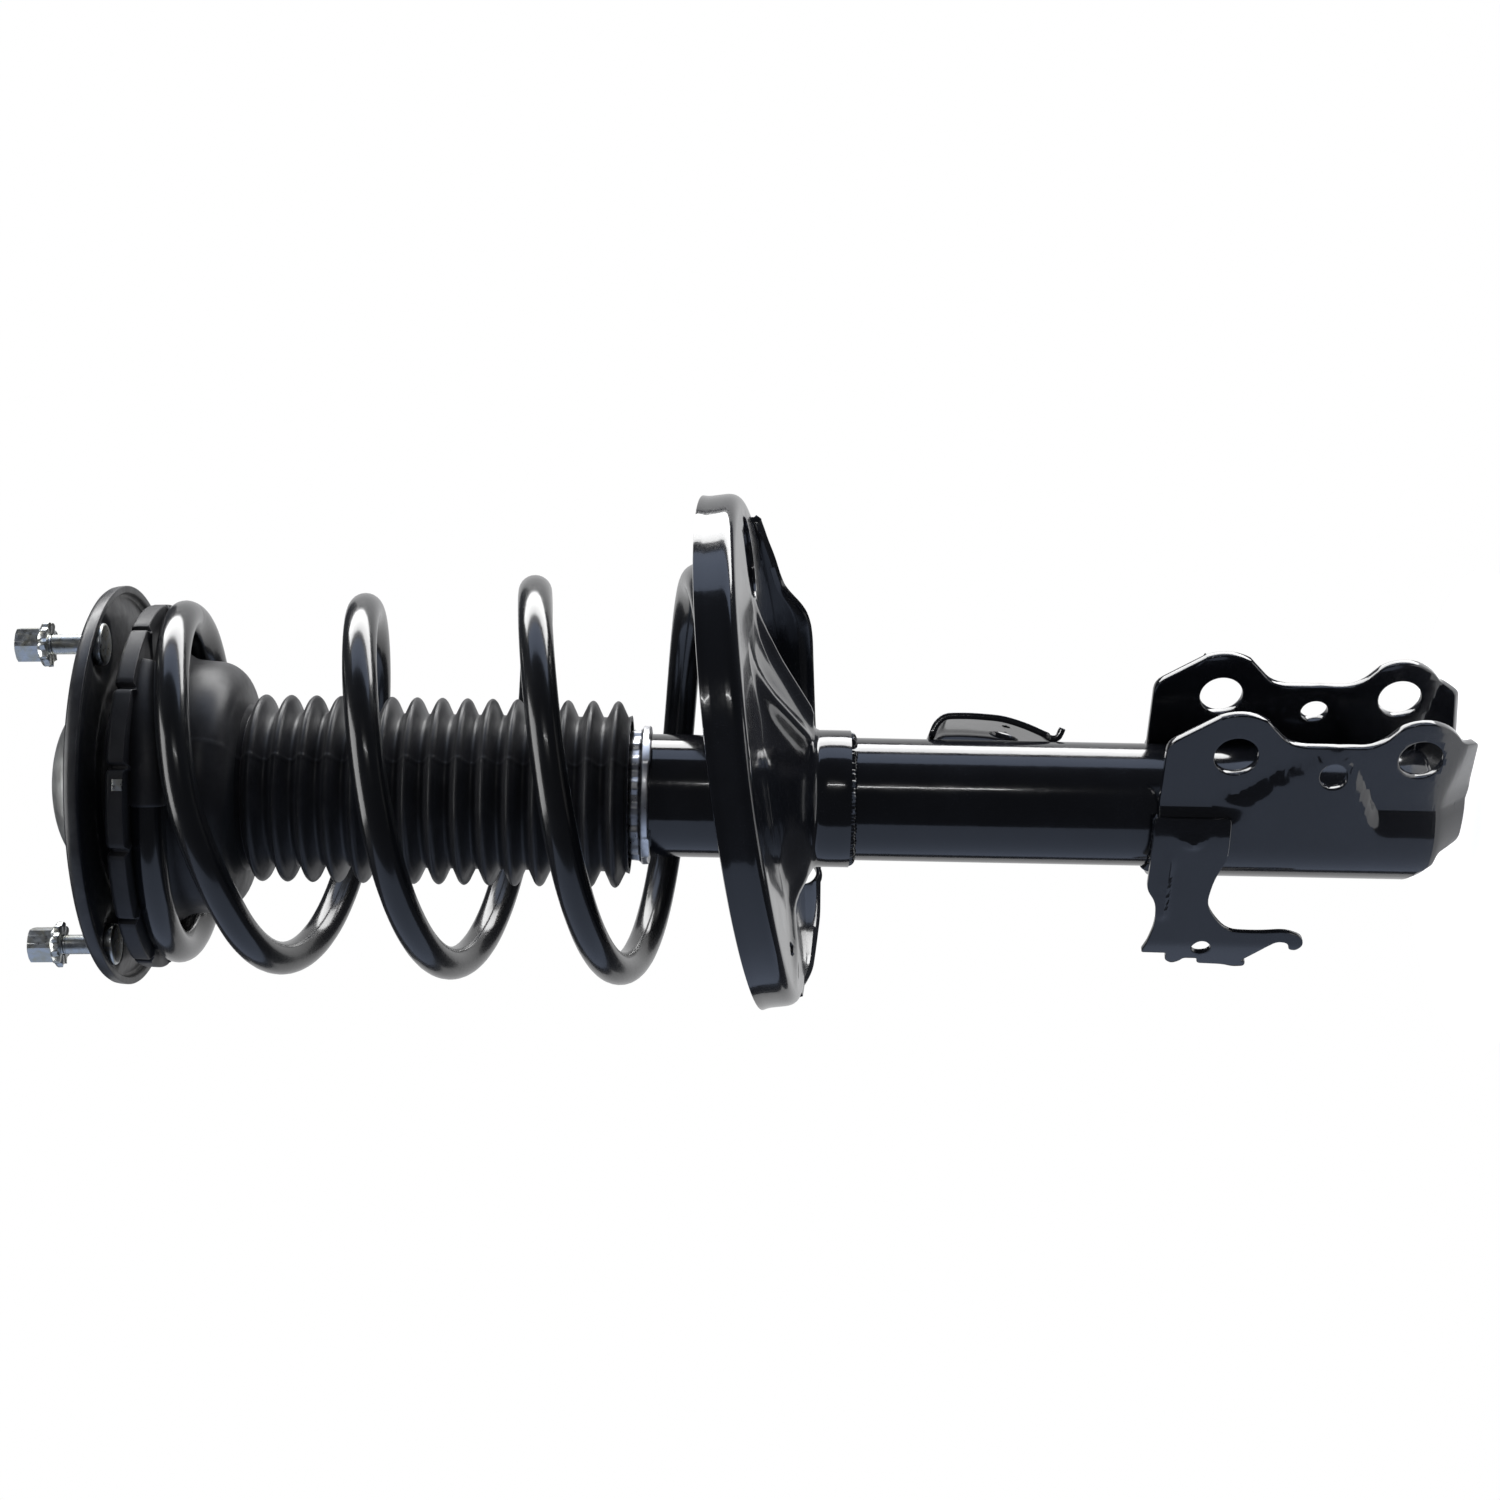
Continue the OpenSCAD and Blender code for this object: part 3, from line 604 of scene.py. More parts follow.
class STRUT_OT_mount_plate(bpy.types.Operator):
    """Pressed round plate with a rolled lip, a dished underside and a land round each stud"""
    bl_idname = "strut.mount_plate"
    bl_label = "Mount plate"

    def execute(self, context):
        s = context.scene.strut.mount
        r, t, lip = s.plate / MM, s.sheet / MM, s.lip / MM
        hole, flat_rings, dish_depth = 38, 18, 1.6
        flat = np.linspace(hole, r - 10, flat_rings)
        rings = [(x, 0) for x in flat] + [(r, 0), (r + 0.5, -lip), (r + 0.5 - t, -lip), (r - t, -t)]
        rings += [(x, -t) for x in flat[::-1]]
        radii = [0] * flat_rings + [4.5, 0.8, 0.8, 3.2] + [0] * flat_rings

        def pressed(a, rr, z):
            x, y = rr * np.cos(a), rr * np.sin(a)
            stud = np.min([np.hypot(x - STUD_REACH * math.cos(b), y - STUD_REACH * math.sin(b))
                           for b in np.radians(STUD_TURNS)], axis=0)
            dish = smoothstep((rr - 44) / 9) * smoothstep((r - 3 - rr) / 7) * smoothstep((stud - 10.5) / 5)
            return rr, z - dish_depth * dish

        section = rounded(rings, radii, closed=True)
        plate = lathe("mount_plate_sheet", section, 288, shape=pressed, lean=MOUNT_LEAN)
        dress(plate, TOP, "plate_paint", "mount_plate")
        return {"FINISHED"}


class STRUT_OT_studs(bpy.types.Operator):
    """Press-in studs with a round head, a knurled neck and a rolled thread"""
    bl_idname = "strut.studs"
    bl_label = "Body studs"

    def execute(self, context):
        r = context.scene.strut.mount.stud / MM
        head = rounded([(0, -6.6), (8.4, -6.6), (8.5, -3.05), (r, -3.0)], [0, 1.2, 0.3, 0])
        turns, steps_per_turn, per_turn, pitch, thread = 11, 6, 36, 1.25, 0.62
        low, end, rows = 13.6, 27.5, []
        lead = rounded([(r + 0.35, -3.0), (r + 0.35, 0.3), (r - 0.05, 0.8), (r - 0.05, low)],
                       [0, 0.2, 0.2, 0])
        angle = np.linspace(0, 2 * math.pi, per_turn, endpoint=False)
        for rr, z in np.vstack([head, lead]):
            ridge = 0.12 * np.cos(12 * angle) * (-3 < z < 0.3)
            rows.append(polar(rr + ridge, angle, z))
        for step in range(turns * steps_per_turn):
            z = low + 0.1 + step * pitch / steps_per_turn
            phase = (z / pitch - angle / (2 * math.pi)) % 1.0
            depth = thread * np.abs(phase * 2 - 1) * min(1.0, (z - low) / 2)
            tip = min(1.0, max(0.0, (end - z) / 1.2))
            if z < end - 0.1:
                rows.append(polar((r - depth) * (0.82 + 0.18 * tip), angle, z))
        rows.append(polar(0.01, angle, end))
        stud = make_piece("stud", np.vstack(rows), grid_faces(len(rows), per_turn), 50)
        studs = copies("body_studs", stud, [stud_place(turn) for turn in STUD_TURNS])
        dress(studs, TOP, "zinc", "mount_studs")
        return {"FINISHED"}


class STRUT_OT_nuts(bpy.types.Operator):
    """Hex nuts, each with its toothed washer, run up near the stud ends"""
    bl_idname = "strut.nuts"
    bl_label = "Stud nuts"

    def execute(self, context):
        bore = context.scene.strut.mount.stud / MM - 0.3
        body = hexagon("nut_body", 13.0, 18.4, 28.3, bore)
        teeth = 10
        section = [(bore + 0.6, 15.3), (7.4, 15.2), (9.1, 15.4), (9.2, 17.2), (8.7, 18.0), (7.4, 18.9),
                   (bore + 0.6, 19.0)]

        def toothed(a, r, z):
            wave = 0.5 + 0.5 * np.cos(teeth * a)
            edge = np.clip((r - 7.0) / 2.0, 0, 1)
            return r - 1.2 * edge * wave, z + 0.35 * edge * np.sin(teeth * a)

        washer = lathe("toothed_washer", section, 200, shape=toothed, sharp=35)
        nut = join("nut", [body, washer])
        nuts = copies("stud_nut_set", nut, [stud_place(turn) for turn in STUD_TURNS])
        dress(nuts, TOP, "zinc", "stud_nuts")
        return {"FINISHED"}


class STRUT_OT_housing(bpy.types.Operator):
    """Domed centre housing, with the rod nut and cup washer in its crown"""
    bl_idname = "strut.housing"
    bl_label = "Centre housing"

    def execute(self, context):
        crown = context.scene.strut.mount.crown / MM
        outer = rounded([(50, 0), (50, 2), (42, 2), (38.5, crown - 13.6), (35, crown - 9.1), (30, crown - 5),
                         (25, crown - 2.2), (20, crown - 0.4), (17, crown), (15, crown - 0.6)],
                        [0.6, 0.6, 2.5, 5, 5, 6, 6, 5, 1.5, 0])
        inner = rounded([(15, crown - 2.6), (19, crown - 3), (24, crown - 4.6), (28.5, crown - 7.2),
                         (33, crown - 11), (36, crown - 15), (39, 0)], [0.4, 5, 6, 6, 5, 4, 0])
        dome = lathe("mount_dome", np.vstack([outer, inner]), 144, lean=MOUNT_LEAN)
        dress(dome, TOP, "housing_steel", "mount_housing")
        dress(hexagon("rod_nut_hex", 19.0, 8.5, 17.5, 5.6, 17.0), TOP, "zinc", "rod_nut")
        cup = [(5.9, 6.0), (12.6, 6.0), (14.5, 7.4), (14.5, 9.0), (13.2, 9.0), (12, 8.4), (5.9, 8.4)]
        washer = lathe("cup_washer_dish", rounded(cup, 0.7, closed=True))
        dress(washer, TOP, "zinc", "cup_washer")
        return {"FINISHED"}


# ---- upper seat, spring and boot ----

class STRUT_OT_insulator(bpy.types.Operator):
    """Rubber ring between the pan and the spring, with notches round its band"""
    bl_idname = "strut.insulator"
    bl_label = "Upper insulator"

    def execute(self, context):
        path = [(54.8, -17.5), (70, -17.5), (70, -15), (72, -13), (74, -13), (75, -14.2), (75.2, -20.4),
                (54.8, -20.4)]
        section = rounded(path, [0, 0, 1, 1, 1.2, 1.2, 0.8, 0], closed=True)

        def notched(a, r, z):
            gap = (a * 14 / (2 * math.pi) + 0.35) % 1.0
            notch = smoothstep((0.055 - np.abs(gap - 0.5)) / 0.02)
            notch = notch * smoothstep((r - 70) / 3) * smoothstep((z + 24.5) / 2)
            panel = 0.35 * np.cos(2 * a + 0.8) * smoothstep((r - 72) / 2)
            return r - 2.0 * notch + panel * 0.5, z - 1.4 * notch

        band = lathe("upper_insulator_band", section, 420, shape=notched, sharp=32)
        dress(band, SEAT, "rubber", "upper_insulator")
        self.make_clip()
        self.make_hood()
        return {"FINISHED"}

    def make_clip(self):
        """Small plated clip over the insulator's edge."""
        r, z = rounded([(74.4, -20.0), (75.9, -20.0), (75.9, -16.0), (74.4, -16.0)], 0.4, closed=True).T
        angles = np.radians(np.linspace(-1.7, 1.7, 5)) - math.radians(53)
        rows, n = [polar(r, a, z) for a in angles], len(r)
        faces = grid_faces(5, n) + [list(range(n)), list(range(4 * n, 5 * n))]
        dress(make_piece("band_clip", np.vstack(rows), faces, 30), SEAT, "zinc")

    def make_hood(self):
        """Rubber sleeve over the tip of the wire, which climbs onto the pad behind the tip."""
        tip_turn, reach, climb = 306, 46, 6.5
        back = np.linspace(5, -reach, 30)
        path = polar(63.2, np.radians(tip_turn - back), climb * smoothstep(-back / reach) - 27.0)
        dress(sweep("wire_end_hood", path, 7.6), SEAT, "rubber")


SPRING_START, SPRING_TOP_TURN, SPRING_SEAT_TURN, SPRING_TURNS = 36.0, 270.0, 1440.0, 1620.0
SPRING_TOP_Z, SPRING_SHIFT, SEAT_LEAN = -34.0, 11.0, 9.5
SPRING_TIP_R, SPRING_TIP_Z = 63.0, -27.2
COIL_LEAN, COIL_LEAN_TURN = 6.3, 68.0
SPRING_EASE_TURN, SPRING_EASE_PITCH = 270.0, 60.0


def spring_path(s, turns):
    """Centre of the wire after so many degrees down from the top tip."""
    top_r, end_r = s.top_radius / MM, s.end_radius / MM
    all_active = SPRING_SEAT_TURN - SPRING_TOP_TURN
    main = all_active - SPRING_EASE_TURN
    active = turns - SPRING_TOP_TURN

    tip = np.clip(1 - turns / SPRING_TOP_TURN, 0, None) ** 1.5
    share = smoothstep(active / all_active)
    r = top_r + (s.end_radius - s.top_radius) / MM * share - (top_r - SPRING_TIP_R) * tip
    angle = np.radians(SPRING_START - active)
    x, y = SPRING_SHIFT * share + r * np.cos(angle), r * np.sin(angle)

    # the first coil stays near the pad, then all coils lean to one side until they near the seat
    pad_lift = SPRING_TIP_Z - SPRING_TOP_Z
    lean_lift = COIL_LEAN * np.cos(np.radians(active - COIL_LEAN_TURN))
    lean_lift = lean_lift * (1 - smoothstep((active - main) / SPRING_EASE_TURN))
    off_pad = pad_lift - COIL_LEAN * math.cos(math.radians(COIL_LEAN_TURN))
    settle = off_pad * (1 - smoothstep((active - 85) / 50))
    lift = np.where(active <= 0, pad_lift, lean_lift + settle)

    eased = np.clip(active - main, 0, SPRING_EASE_TURN)
    drop = s.pitch / MM * np.clip(active, 0, main) / 360 + SPRING_EASE_PITCH * eased / 360
    seat_x = SPRING_SHIFT + end_r * math.cos(math.radians(SPRING_START - all_active))
    lean = math.tan(math.radians(SEAT_LEAN))
    z = SPRING_TOP_Z - drop + lift + lean * (x - seat_x) * (turns > SPRING_SEAT_TURN)
    return np.column_stack([x, y, z])


class STRUT_OT_spring(bpy.types.Operator):
    """Coil spring in three stretches: the seated end turns ride their seats, and the coils between ride the
    upper seat on a mesh of their own
    """
    bl_idname = "strut.spring"
    bl_label = "Coil spring"

    def execute(self, context):
        s = context.scene.strut.spring
        r = s.wire / MM / 2
        stretches = (("spring_top_turn", 0, SPRING_TOP_TURN + 2),
                     ("spring_coils", SPRING_TOP_TURN, SPRING_SEAT_TURN),
                     ("spring_end_turn", SPRING_SEAT_TURN - 2, SPRING_TURNS))
        for name, start, end in stretches:
            turns = np.linspace(start, end, int((end - start) / 3) + 1)
            wire = sweep(name, spring_path(s, turns), r, 28)
            body = TUBE if name == "spring_end_turn" else SEAT
            squash = (SPRING_TIP_Z, 0.515) if name == "spring_coils" else None
            dress(wire, body, "spring_paint", "coil_spring", squash=squash)
        return {"FINISHED"}


class STRUT_OT_boot(bpy.types.Operator):
    """Rubber dust boot: a smooth bell, then sharp-crested folds, with a mould parting line"""
    bl_idname = "strut.boot"
    bl_label = "Dust boot"

    def execute(self, context):
        s = context.scene.strut.boot
        crest, root = s.radius / MM, (s.radius - s.depth) / MM
        first, pitch, line_width = -60.6, 10.43, 0.5

        def off_line(a, degrees):
            return np.abs((a - math.radians(degrees) + math.pi) % (2 * math.pi) - math.pi)

        def part_line(a, r, z):
            gap = np.minimum(off_line(a, 327), off_line(a, 147)) * r
            return r + 0.5 * np.exp(-(gap / line_width) ** 2), z

        bell = rounded([(32.3, -22.2), (56, -22.2), (56, -26.5), (52.8, -31), (51.6, -46), (46, -52.5),
                        (34.5, -54.5)], [0, 1, 1, 3, 7, 7, 3], steps=6)
        neck = rounded([(34.5, -54.5), (root, -56.2), (root + 0.2, -56.6)], [0, 1, 0])
        bell_in = [(33.5, -53), (45, -51), (49.6, -45), (51, -32), (32.3, -24.5)]
        section = np.vstack([bell, neck, [(root - 1.6, -56.6)], bell_in])
        top = lathe("boot_bell", section, 288, shape=part_line, sharp=50)
        dress(top, SEAT, "boot_rubber", "dust_boot")
        line, inner = [(root + 0.2, -56.4)], [(root - 1.6, -56.4)]
        for i in range(s.folds):
            z = first - pitch * i
            fold = [(root, z + pitch / 2 - 0.9), (crest - 1.1, z + 1.5), (crest, z), (crest - 1.1, z - 1.5),
                    (root, z - min(pitch / 2 - 0.9, 4.4))]
            line += [tuple(p) for p in rounded(fold, [0.6, 1.2, 1.0, 1.2, 0.6])]
            inner += [(root - 1.6, z + pitch / 2), (crest - 2.8, z)]
        end = first - pitch * (s.folds - 1) - 4.6
        line += [(root + 0.3, end), (root + 0.8, end - 1.2), (root - 1.4, end - 1.2)]
        folds = lathe("boot_folds", line + inner[::-1], 240, shape=part_line, sharp=70)
        dress(folds, SEAT, "boot_rubber", squash=(-56.4, 0.304))
        return {"FINISHED"}


# ---- strut body ----

SEAT_Z, SEAT_OUT, SEAT_FLOOR = -259.0, 23.0, 15.8
SEAT_ANGLES = np.linspace(0, 2 * math.pi, 240, endpoint=False)


def at_seat(points):
    p = turn_y(np.asarray(points, float) + (SEAT_OUT, 0, 0), SEAT_LEAN)
    return p + (0, 0, SEAT_Z)


class STRUT_OT_tube(bpy.types.Operator):
    """Painted strut tube with a rolled-in top edge, its aluminium cap ring and its bottom cap"""
    bl_idname = "strut.tube"
    bl_label = "Strut tube"

    def execute(self, context):
        r = context.scene.strut.body.tube / MM
        wall = 2.3
        section = rounded([(r, -538), (r, -219.5), (r - wall, -219.5), (r - wall, -538)], 0.9, closed=True)
        dress(lathe("tube_shell", section, 160), TUBE, "black_paint", "outer_tube")

        def fluted(a, rr, z):
            rib = np.clip(np.cos(16 * a) * 1.6, -1, 1)
            rib = rib * smoothstep((rr - 22) / 2) * smoothstep((z + 217.6) / 0.6)
            tab = smoothstep((np.cos(4 * a + 0.9) - 0.55) / 0.2) * (rr > 27.5)
            return rr + 0.75 * rib + 0.35 * tab, z - 0.7 * tab * (z < -219)

        cap = rounded([(r + 0.05, -220.6), (28.6, -220.6), (28.8, -217.6), (27.3, -217.2), (26.6, -216.4),
                       (26.4, -213.2), (25.0, -211.6), (11.5, -211.4), (11.5, -214), (24, -214.4),
                       (r + 0.05, -218)], [0, 0.8, 0.6, 0.8, 0.6, 0.8, 1.4, 0.4, 0.4, 1, 0], closed=True)
        dress(lathe("cap_ring_fluted", cap, 480, shape=fluted, sharp=35), TUBE, "cap_aluminium", "cap_ring")
        plug = rounded([(0.02, -540.0), (r - 5, -540.0), (r - 0.8, -539.4), (r - 0.6, -538), (r - wall, -538),
                        (r - wall, -534.1), (0.02, -534.1)], [0, 3, 0.8, 0.3, 0, 0.3, 0])
        dress(lathe("tube_end_cap", plug), TUBE, "black_paint", "bottom_cap")
        return {"FINISHED"}


class STRUT_OT_lower_seat(bpy.types.Operator):
    """Pressed lower spring seat: neck, ribbed cone, floor, rolled rim, and a skirt with a flanged hole"""
    bl_idname = "strut.lower_seat"
    bl_label = "Lower spring seat"

    def execute(self, context):
        s = context.scene.strut.body
        rim, sheet, neck = s.seat / MM, s.sheet / MM, s.tube / MM + 3.0
        rings = self.neck_and_cone(neck, rim - 13)
        wall = rounded([(rim - 13, -SEAT_FLOOR), (rim, -SEAT_FLOOR), (rim, -3.0), (rim + 0.6, -0.4)],
                       [0, 11, 2, 0], steps=9)
        rings += [at_seat(polar(r, SEAT_ANGLES, z)) for r, z in wall[1:]]
        dish = make_piece("dish", np.vstack(rings), grid_faces(len(rings), len(SEAT_ANGLES)))
        thicken(dish, sheet, offset=-1)
        tilt = at_seat([(0, 0, 1)])[0] - at_seat([(0, 0, 0)])[0]
        holes = ((78, 32, 17, 40, 64), (84, -128, 3, 30, 24), (84, -140, 3, 30, 24))
        for reach, turn, hole, depth, sides in holes:
            drill(dish, at_seat(polar(reach, math.radians(turn), -13))[0], tilt, hole, depth, sides)
        soften_edges(dish, 0.5)
        seat = join("lower_seat_pressing", [dish, self.make_skirt(rim - 1.2, sheet)])
        dress(seat, TUBE, "black_paint", "lower_seat")
        self.make_insulator(rim)
        return {"FINISHED"}

    def neck_and_cone(self, neck, floor_r):
        """Rings of the neck, then of the cone, which blends into the tilted floor."""
        slope, blend_depth, cone_r = math.radians(SEAT_LEAN), 5.0, 64
        rings = [polar(neck, SEAT_ANGLES, z) for z in (-303, -299, -294, -290)]
        reaches = (29.2, 30.8, 33, 36, 39, 42, 46, 50, 54, 58, 61, cone_r)
        cone = [polar(reach, SEAT_ANGLES, 0) for reach in reaches]
        flat = at_seat(polar(floor_r, SEAT_ANGLES, -SEAT_FLOOR))
        cone += [cone[-1] * (1 - t) + flat * t for t in np.linspace(0, 1, 10)[1:]]
        for ring in cone:
            turn, reach = np.degrees(np.arctan2(ring[:, 1], ring[:, 0])), np.hypot(ring[:, 0], ring[:, 1])
            ribs = sum(high * np.exp(-((turn - at) * reach / 57.3 / wide) ** 2)
                       for at, high, wide in ((22, 4.2, 5.5), (-14, 3.4, 6.5), (-120, 2.0, 8.0)))
            ribs = ribs * smoothstep((reach - neck - 1) / 9) * smoothstep((88 - reach) / 26)
            side = -289 + (reach - neck) * 0.64
            floor = SEAT_Z + math.tan(slope) * ring[:, 0] - SEAT_FLOOR / math.cos(slope)
            gap = np.clip(0.5 + 0.5 * (side - floor) / blend_depth, 0, 1)
            ring[:, 2] = side * (1 - gap) + floor * gap - blend_depth * gap * (1 - gap) - ribs
        return rings + cone

    def make_skirt(self, r, sheet):
        """Turned-down wall along the back of the dish, deeper from where it steps, with one flanged hole."""
        stations = [56, 66, 73, 80, 84, 88, 92, 97, 118, 150, 171, 191, 201, 207]
        depths = [-263, -266.5, -270, -273, -276, -283, -286.5, -288, -290, -293.4, -292.8, -289, -284, -277]
        angle = np.linspace(56, 207, 190)
        low = np.interp(angle, stations, depths)
        low = np.convolve(np.pad(low, 3, mode="edge"), np.ones(7) / 7, "valid")
        rows = []
        for t in np.linspace(0, 1, 9):
            flare = r + 1.6 * smoothstep((t - 0.75) / 0.25)
            p = at_seat(polar(flare, np.radians(angle), -12.5))
            p[:, 2] = p[:, 2] * (1 - t) + np.minimum(low, p[:, 2] - 1) * t
            p[:, 0] -= 0.165 * (p[:, 2] - p[0, 2]) * 0.1
            rows.append(p)
        wall = make_piece("skirt", np.vstack(rows), grid_faces(len(rows), len(angle), close_columns=False))
        thicken(wall, sheet, offset=0)
        turn = math.radians(158)
        out = Vector((math.cos(turn), math.sin(turn), 0))
        centre = Vector((SEAT_OUT, 0, -285.5)) + out * r
        drill(wall, centre, out, 6.5, 20)
        soften_edges(wall, 0.6)
        section = rounded([(6.4, -1.5), (9.5, -1.5), (8.0, -3.2), (7.6, -5.0), (6.4, -5.0)],
                          [0, 1.0, 1.0, 0.4, 0], closed=True)
        swing = np.array(out.to_track_quat("Z", "Y").to_matrix())
        collar = place(lathe("collar", section, 48), lambda p: p @ swing.T + np.array(centre))
        return join("skirt_wall", [wall, collar])

    def make_insulator(self, rim):
        """Rubber ring that fills the floor of the dish under the spring's end turn."""
        def inside(a, r, z):
            return np.minimum(r, 97 - 12 * np.maximum(np.cos(a - math.pi), 0)), z

        section = rounded([(72, -13.2), (86, -13.2), (86, -11.6), (80.5, -11.9), (72, -11.6)],
                          [0, 0.8, 0.8, 2, 0.8], closed=True)
        ring = lathe("lower_insulator_ring", section, 200, shape=inside)
        place(ring, lambda p: at_seat(p + (SPRING_SHIFT - SEAT_OUT, 0, 0)))
        dress(ring, TUBE, "rubber", "lower_insulator")


LINK_TURN = 46.0


class STRUT_OT_link_bracket(bpy.types.Operator):
    """Stabiliser link bracket: an arched plate on two feet, with the link hole and a locating hook"""
    bl_idname = "strut.link_bracket"
    bl_label = "Link bracket"

    def execute(self, context):
        path = rounded([(-336.5, 25.6), (-338.2, 31.0), (-342, 34.6), (-352, 35.0), (-366, 34.2),
                        (-376, 31.2), (-385, 27.2), (-389.5, 26.6), (-391.6, 31.5)], 4.5)
        run = run_along(path)
        whole = run[-1]
        shape = [(0, -7), (whole - 9, -5.5), (whole - 8, -1.5), (whole, -1.5), (whole, 4),
                 (whole - 8, 4), (whole - 9, 20), (whole - 20, 40), (18, 42), (5, 30), (0, 18)]
        outline = rounded(shape, [2, 2, 0.8, 1, 1, 2, 6, 12, 12, 6, 2], closed=True)
        hole_at = np.interp(369.5, -path[:, 0], run)
        holes = [circle(hole_at, 22, 6.25), circle(hole_at - 1, 1.5, 1.6, 16),
                 circle(hole_at + 13.5, 21, 4.0, 24)]
        scores = np.arange(1.5, whole, 1.5)
        flat = blank("link_bracket_arch", outline, holes, 2.8, 0.5, scores, (10, 22, 30, 36))

        def arch(q, t):
            zh = follow(path, q)
            reach = zh[:, 1] - 0.9 * smoothstep((t - 26) / 16) * 5
            return turn_z(np.column_stack([reach, t, zh[:, 0]]), LINK_TURN)

        dress(bend(flat, arch), TUBE, "black_paint", "link_bracket")
        return {"FINISHED"}


EAR_SHIFT, WRAP_MID = 42.7, 27.2
BOLT_OUT, BOLT_HIGH, BOLT_LOW = 42.0, -455.0, -528.5


class STRUT_OT_clevis(bpy.types.Operator):
    """Knuckle clevis: one sheet wrapped round the tube, with flat ears round the bolt holes"""
    bl_idname = "strut.clevis"
    bl_label = "Knuckle clevis"

    def execute(self, context):
        s = context.scene.strut.body
        hole, sheet = s.bolt_hole / MM, s.ear_sheet / MM
        high = arc((EAR_SHIFT + BOLT_OUT, BOLT_HIGH), 20, 24, -31, 12)
        low = arc((EAR_SHIFT + BOLT_OUT, BOLT_LOW), 17.5, 35, -50, 14)
        e = EAR_SHIFT
        corners = [(0, -427), (e + 14, -427), (e + 47, -427), (e + 60.6, -447)]
        corners += high + [(e + 49, -474.5), (e + 47, -481), (e + 47, -507.5), (e + 50, -513)] + low
        corners += [(e + 50.5, -544), (e + 48, -552), (e + 22, -556), (e + 1, -553), (e - 1, -541),
                    (36, -540), (22, -533), (0, -533)]
        radii = [0, 2, 4, 2] + [0] * 12 + [8, 6, 8, 5] + [0] * 14 + [1.5, 2, 2, 3, 2, 1.5, 4, 0]
        half = rounded(corners, radii)
        outline = [tuple(p) for p in half] + [(-x, y) for x, y in half[::-1][1:-1]]
        holes = []
        for side in (1, -1):
            holes += [circle(side * (e + BOLT_OUT), z, hole, 56) for z in (BOLT_HIGH, BOLT_LOW)]
            holes.append(circle(side * (e + 34), -494.7, 5.5, 36))
        cuts = np.concatenate([np.arange(1.5, 66, 2.6), np.arange(66, 106, 4)])
        flat = blank("clevis_sheet", outline, holes, sheet, 0.6, np.concatenate([-cuts[::-1], cuts]),
                     np.arange(-553, -427, 2.6))
        dress(bend(flat, self.wrapped, 30), TUBE, "black_paint", "knuckle_clevis")
        return {"FINISHED"}

    def wrapped(self, run, z):
        """Where a point of the flat sheet goes: round the tube, out along the flanks, onto the ears."""
        half_turn = WRAP_MID * math.pi / 2
        side = np.where(run < 0, -1.0, 1.0)
        far = np.abs(run)
        x = np.where(far < half_turn, -WRAP_MID * np.cos(far / WRAP_MID), far - EAR_SHIFT)
        round_y = WRAP_MID * np.sin(np.minimum(far, half_turn) / WRAP_MID)
        hug = np.sqrt(np.maximum(WRAP_MID ** 2 - np.clip(x, 0, 27) ** 2, 21.3 ** 2))
        hug = np.where(x > 14, 21.3 + (hug - 21.3) * smoothstep((19 - x) / 5), hug)
        flank = 27.2 - 5.9 * np.clip(x, 0, 47) / 47
        start = np.where(x > 21.6, -453 - 1.6 * (x - 21.6), -447.0)
        full = np.minimum(-460 - 0.53 * (x - 8.3), start - 4)
        first = smoothstep((start - z) / (start - full))
        edge = -521 + 0.55 * (x - 5)
        inner = np.maximum(-513 + 0.3 * (x - 5), edge + 3)
        second = smoothstep((z - edge) / (inner - edge))
        y = np.where(far < half_turn, round_y, hug + (flank - hug) * first * second)
        fold = np.where(x < 25, -539.0, -539 - 0.22 * (x - 25))
        past = np.maximum(fold - z, 0)
        soft = past * past / (past + 1.2)
        y = y - 0.62 * soft
        return np.column_stack([x, side * y, z + 0.22 * soft])


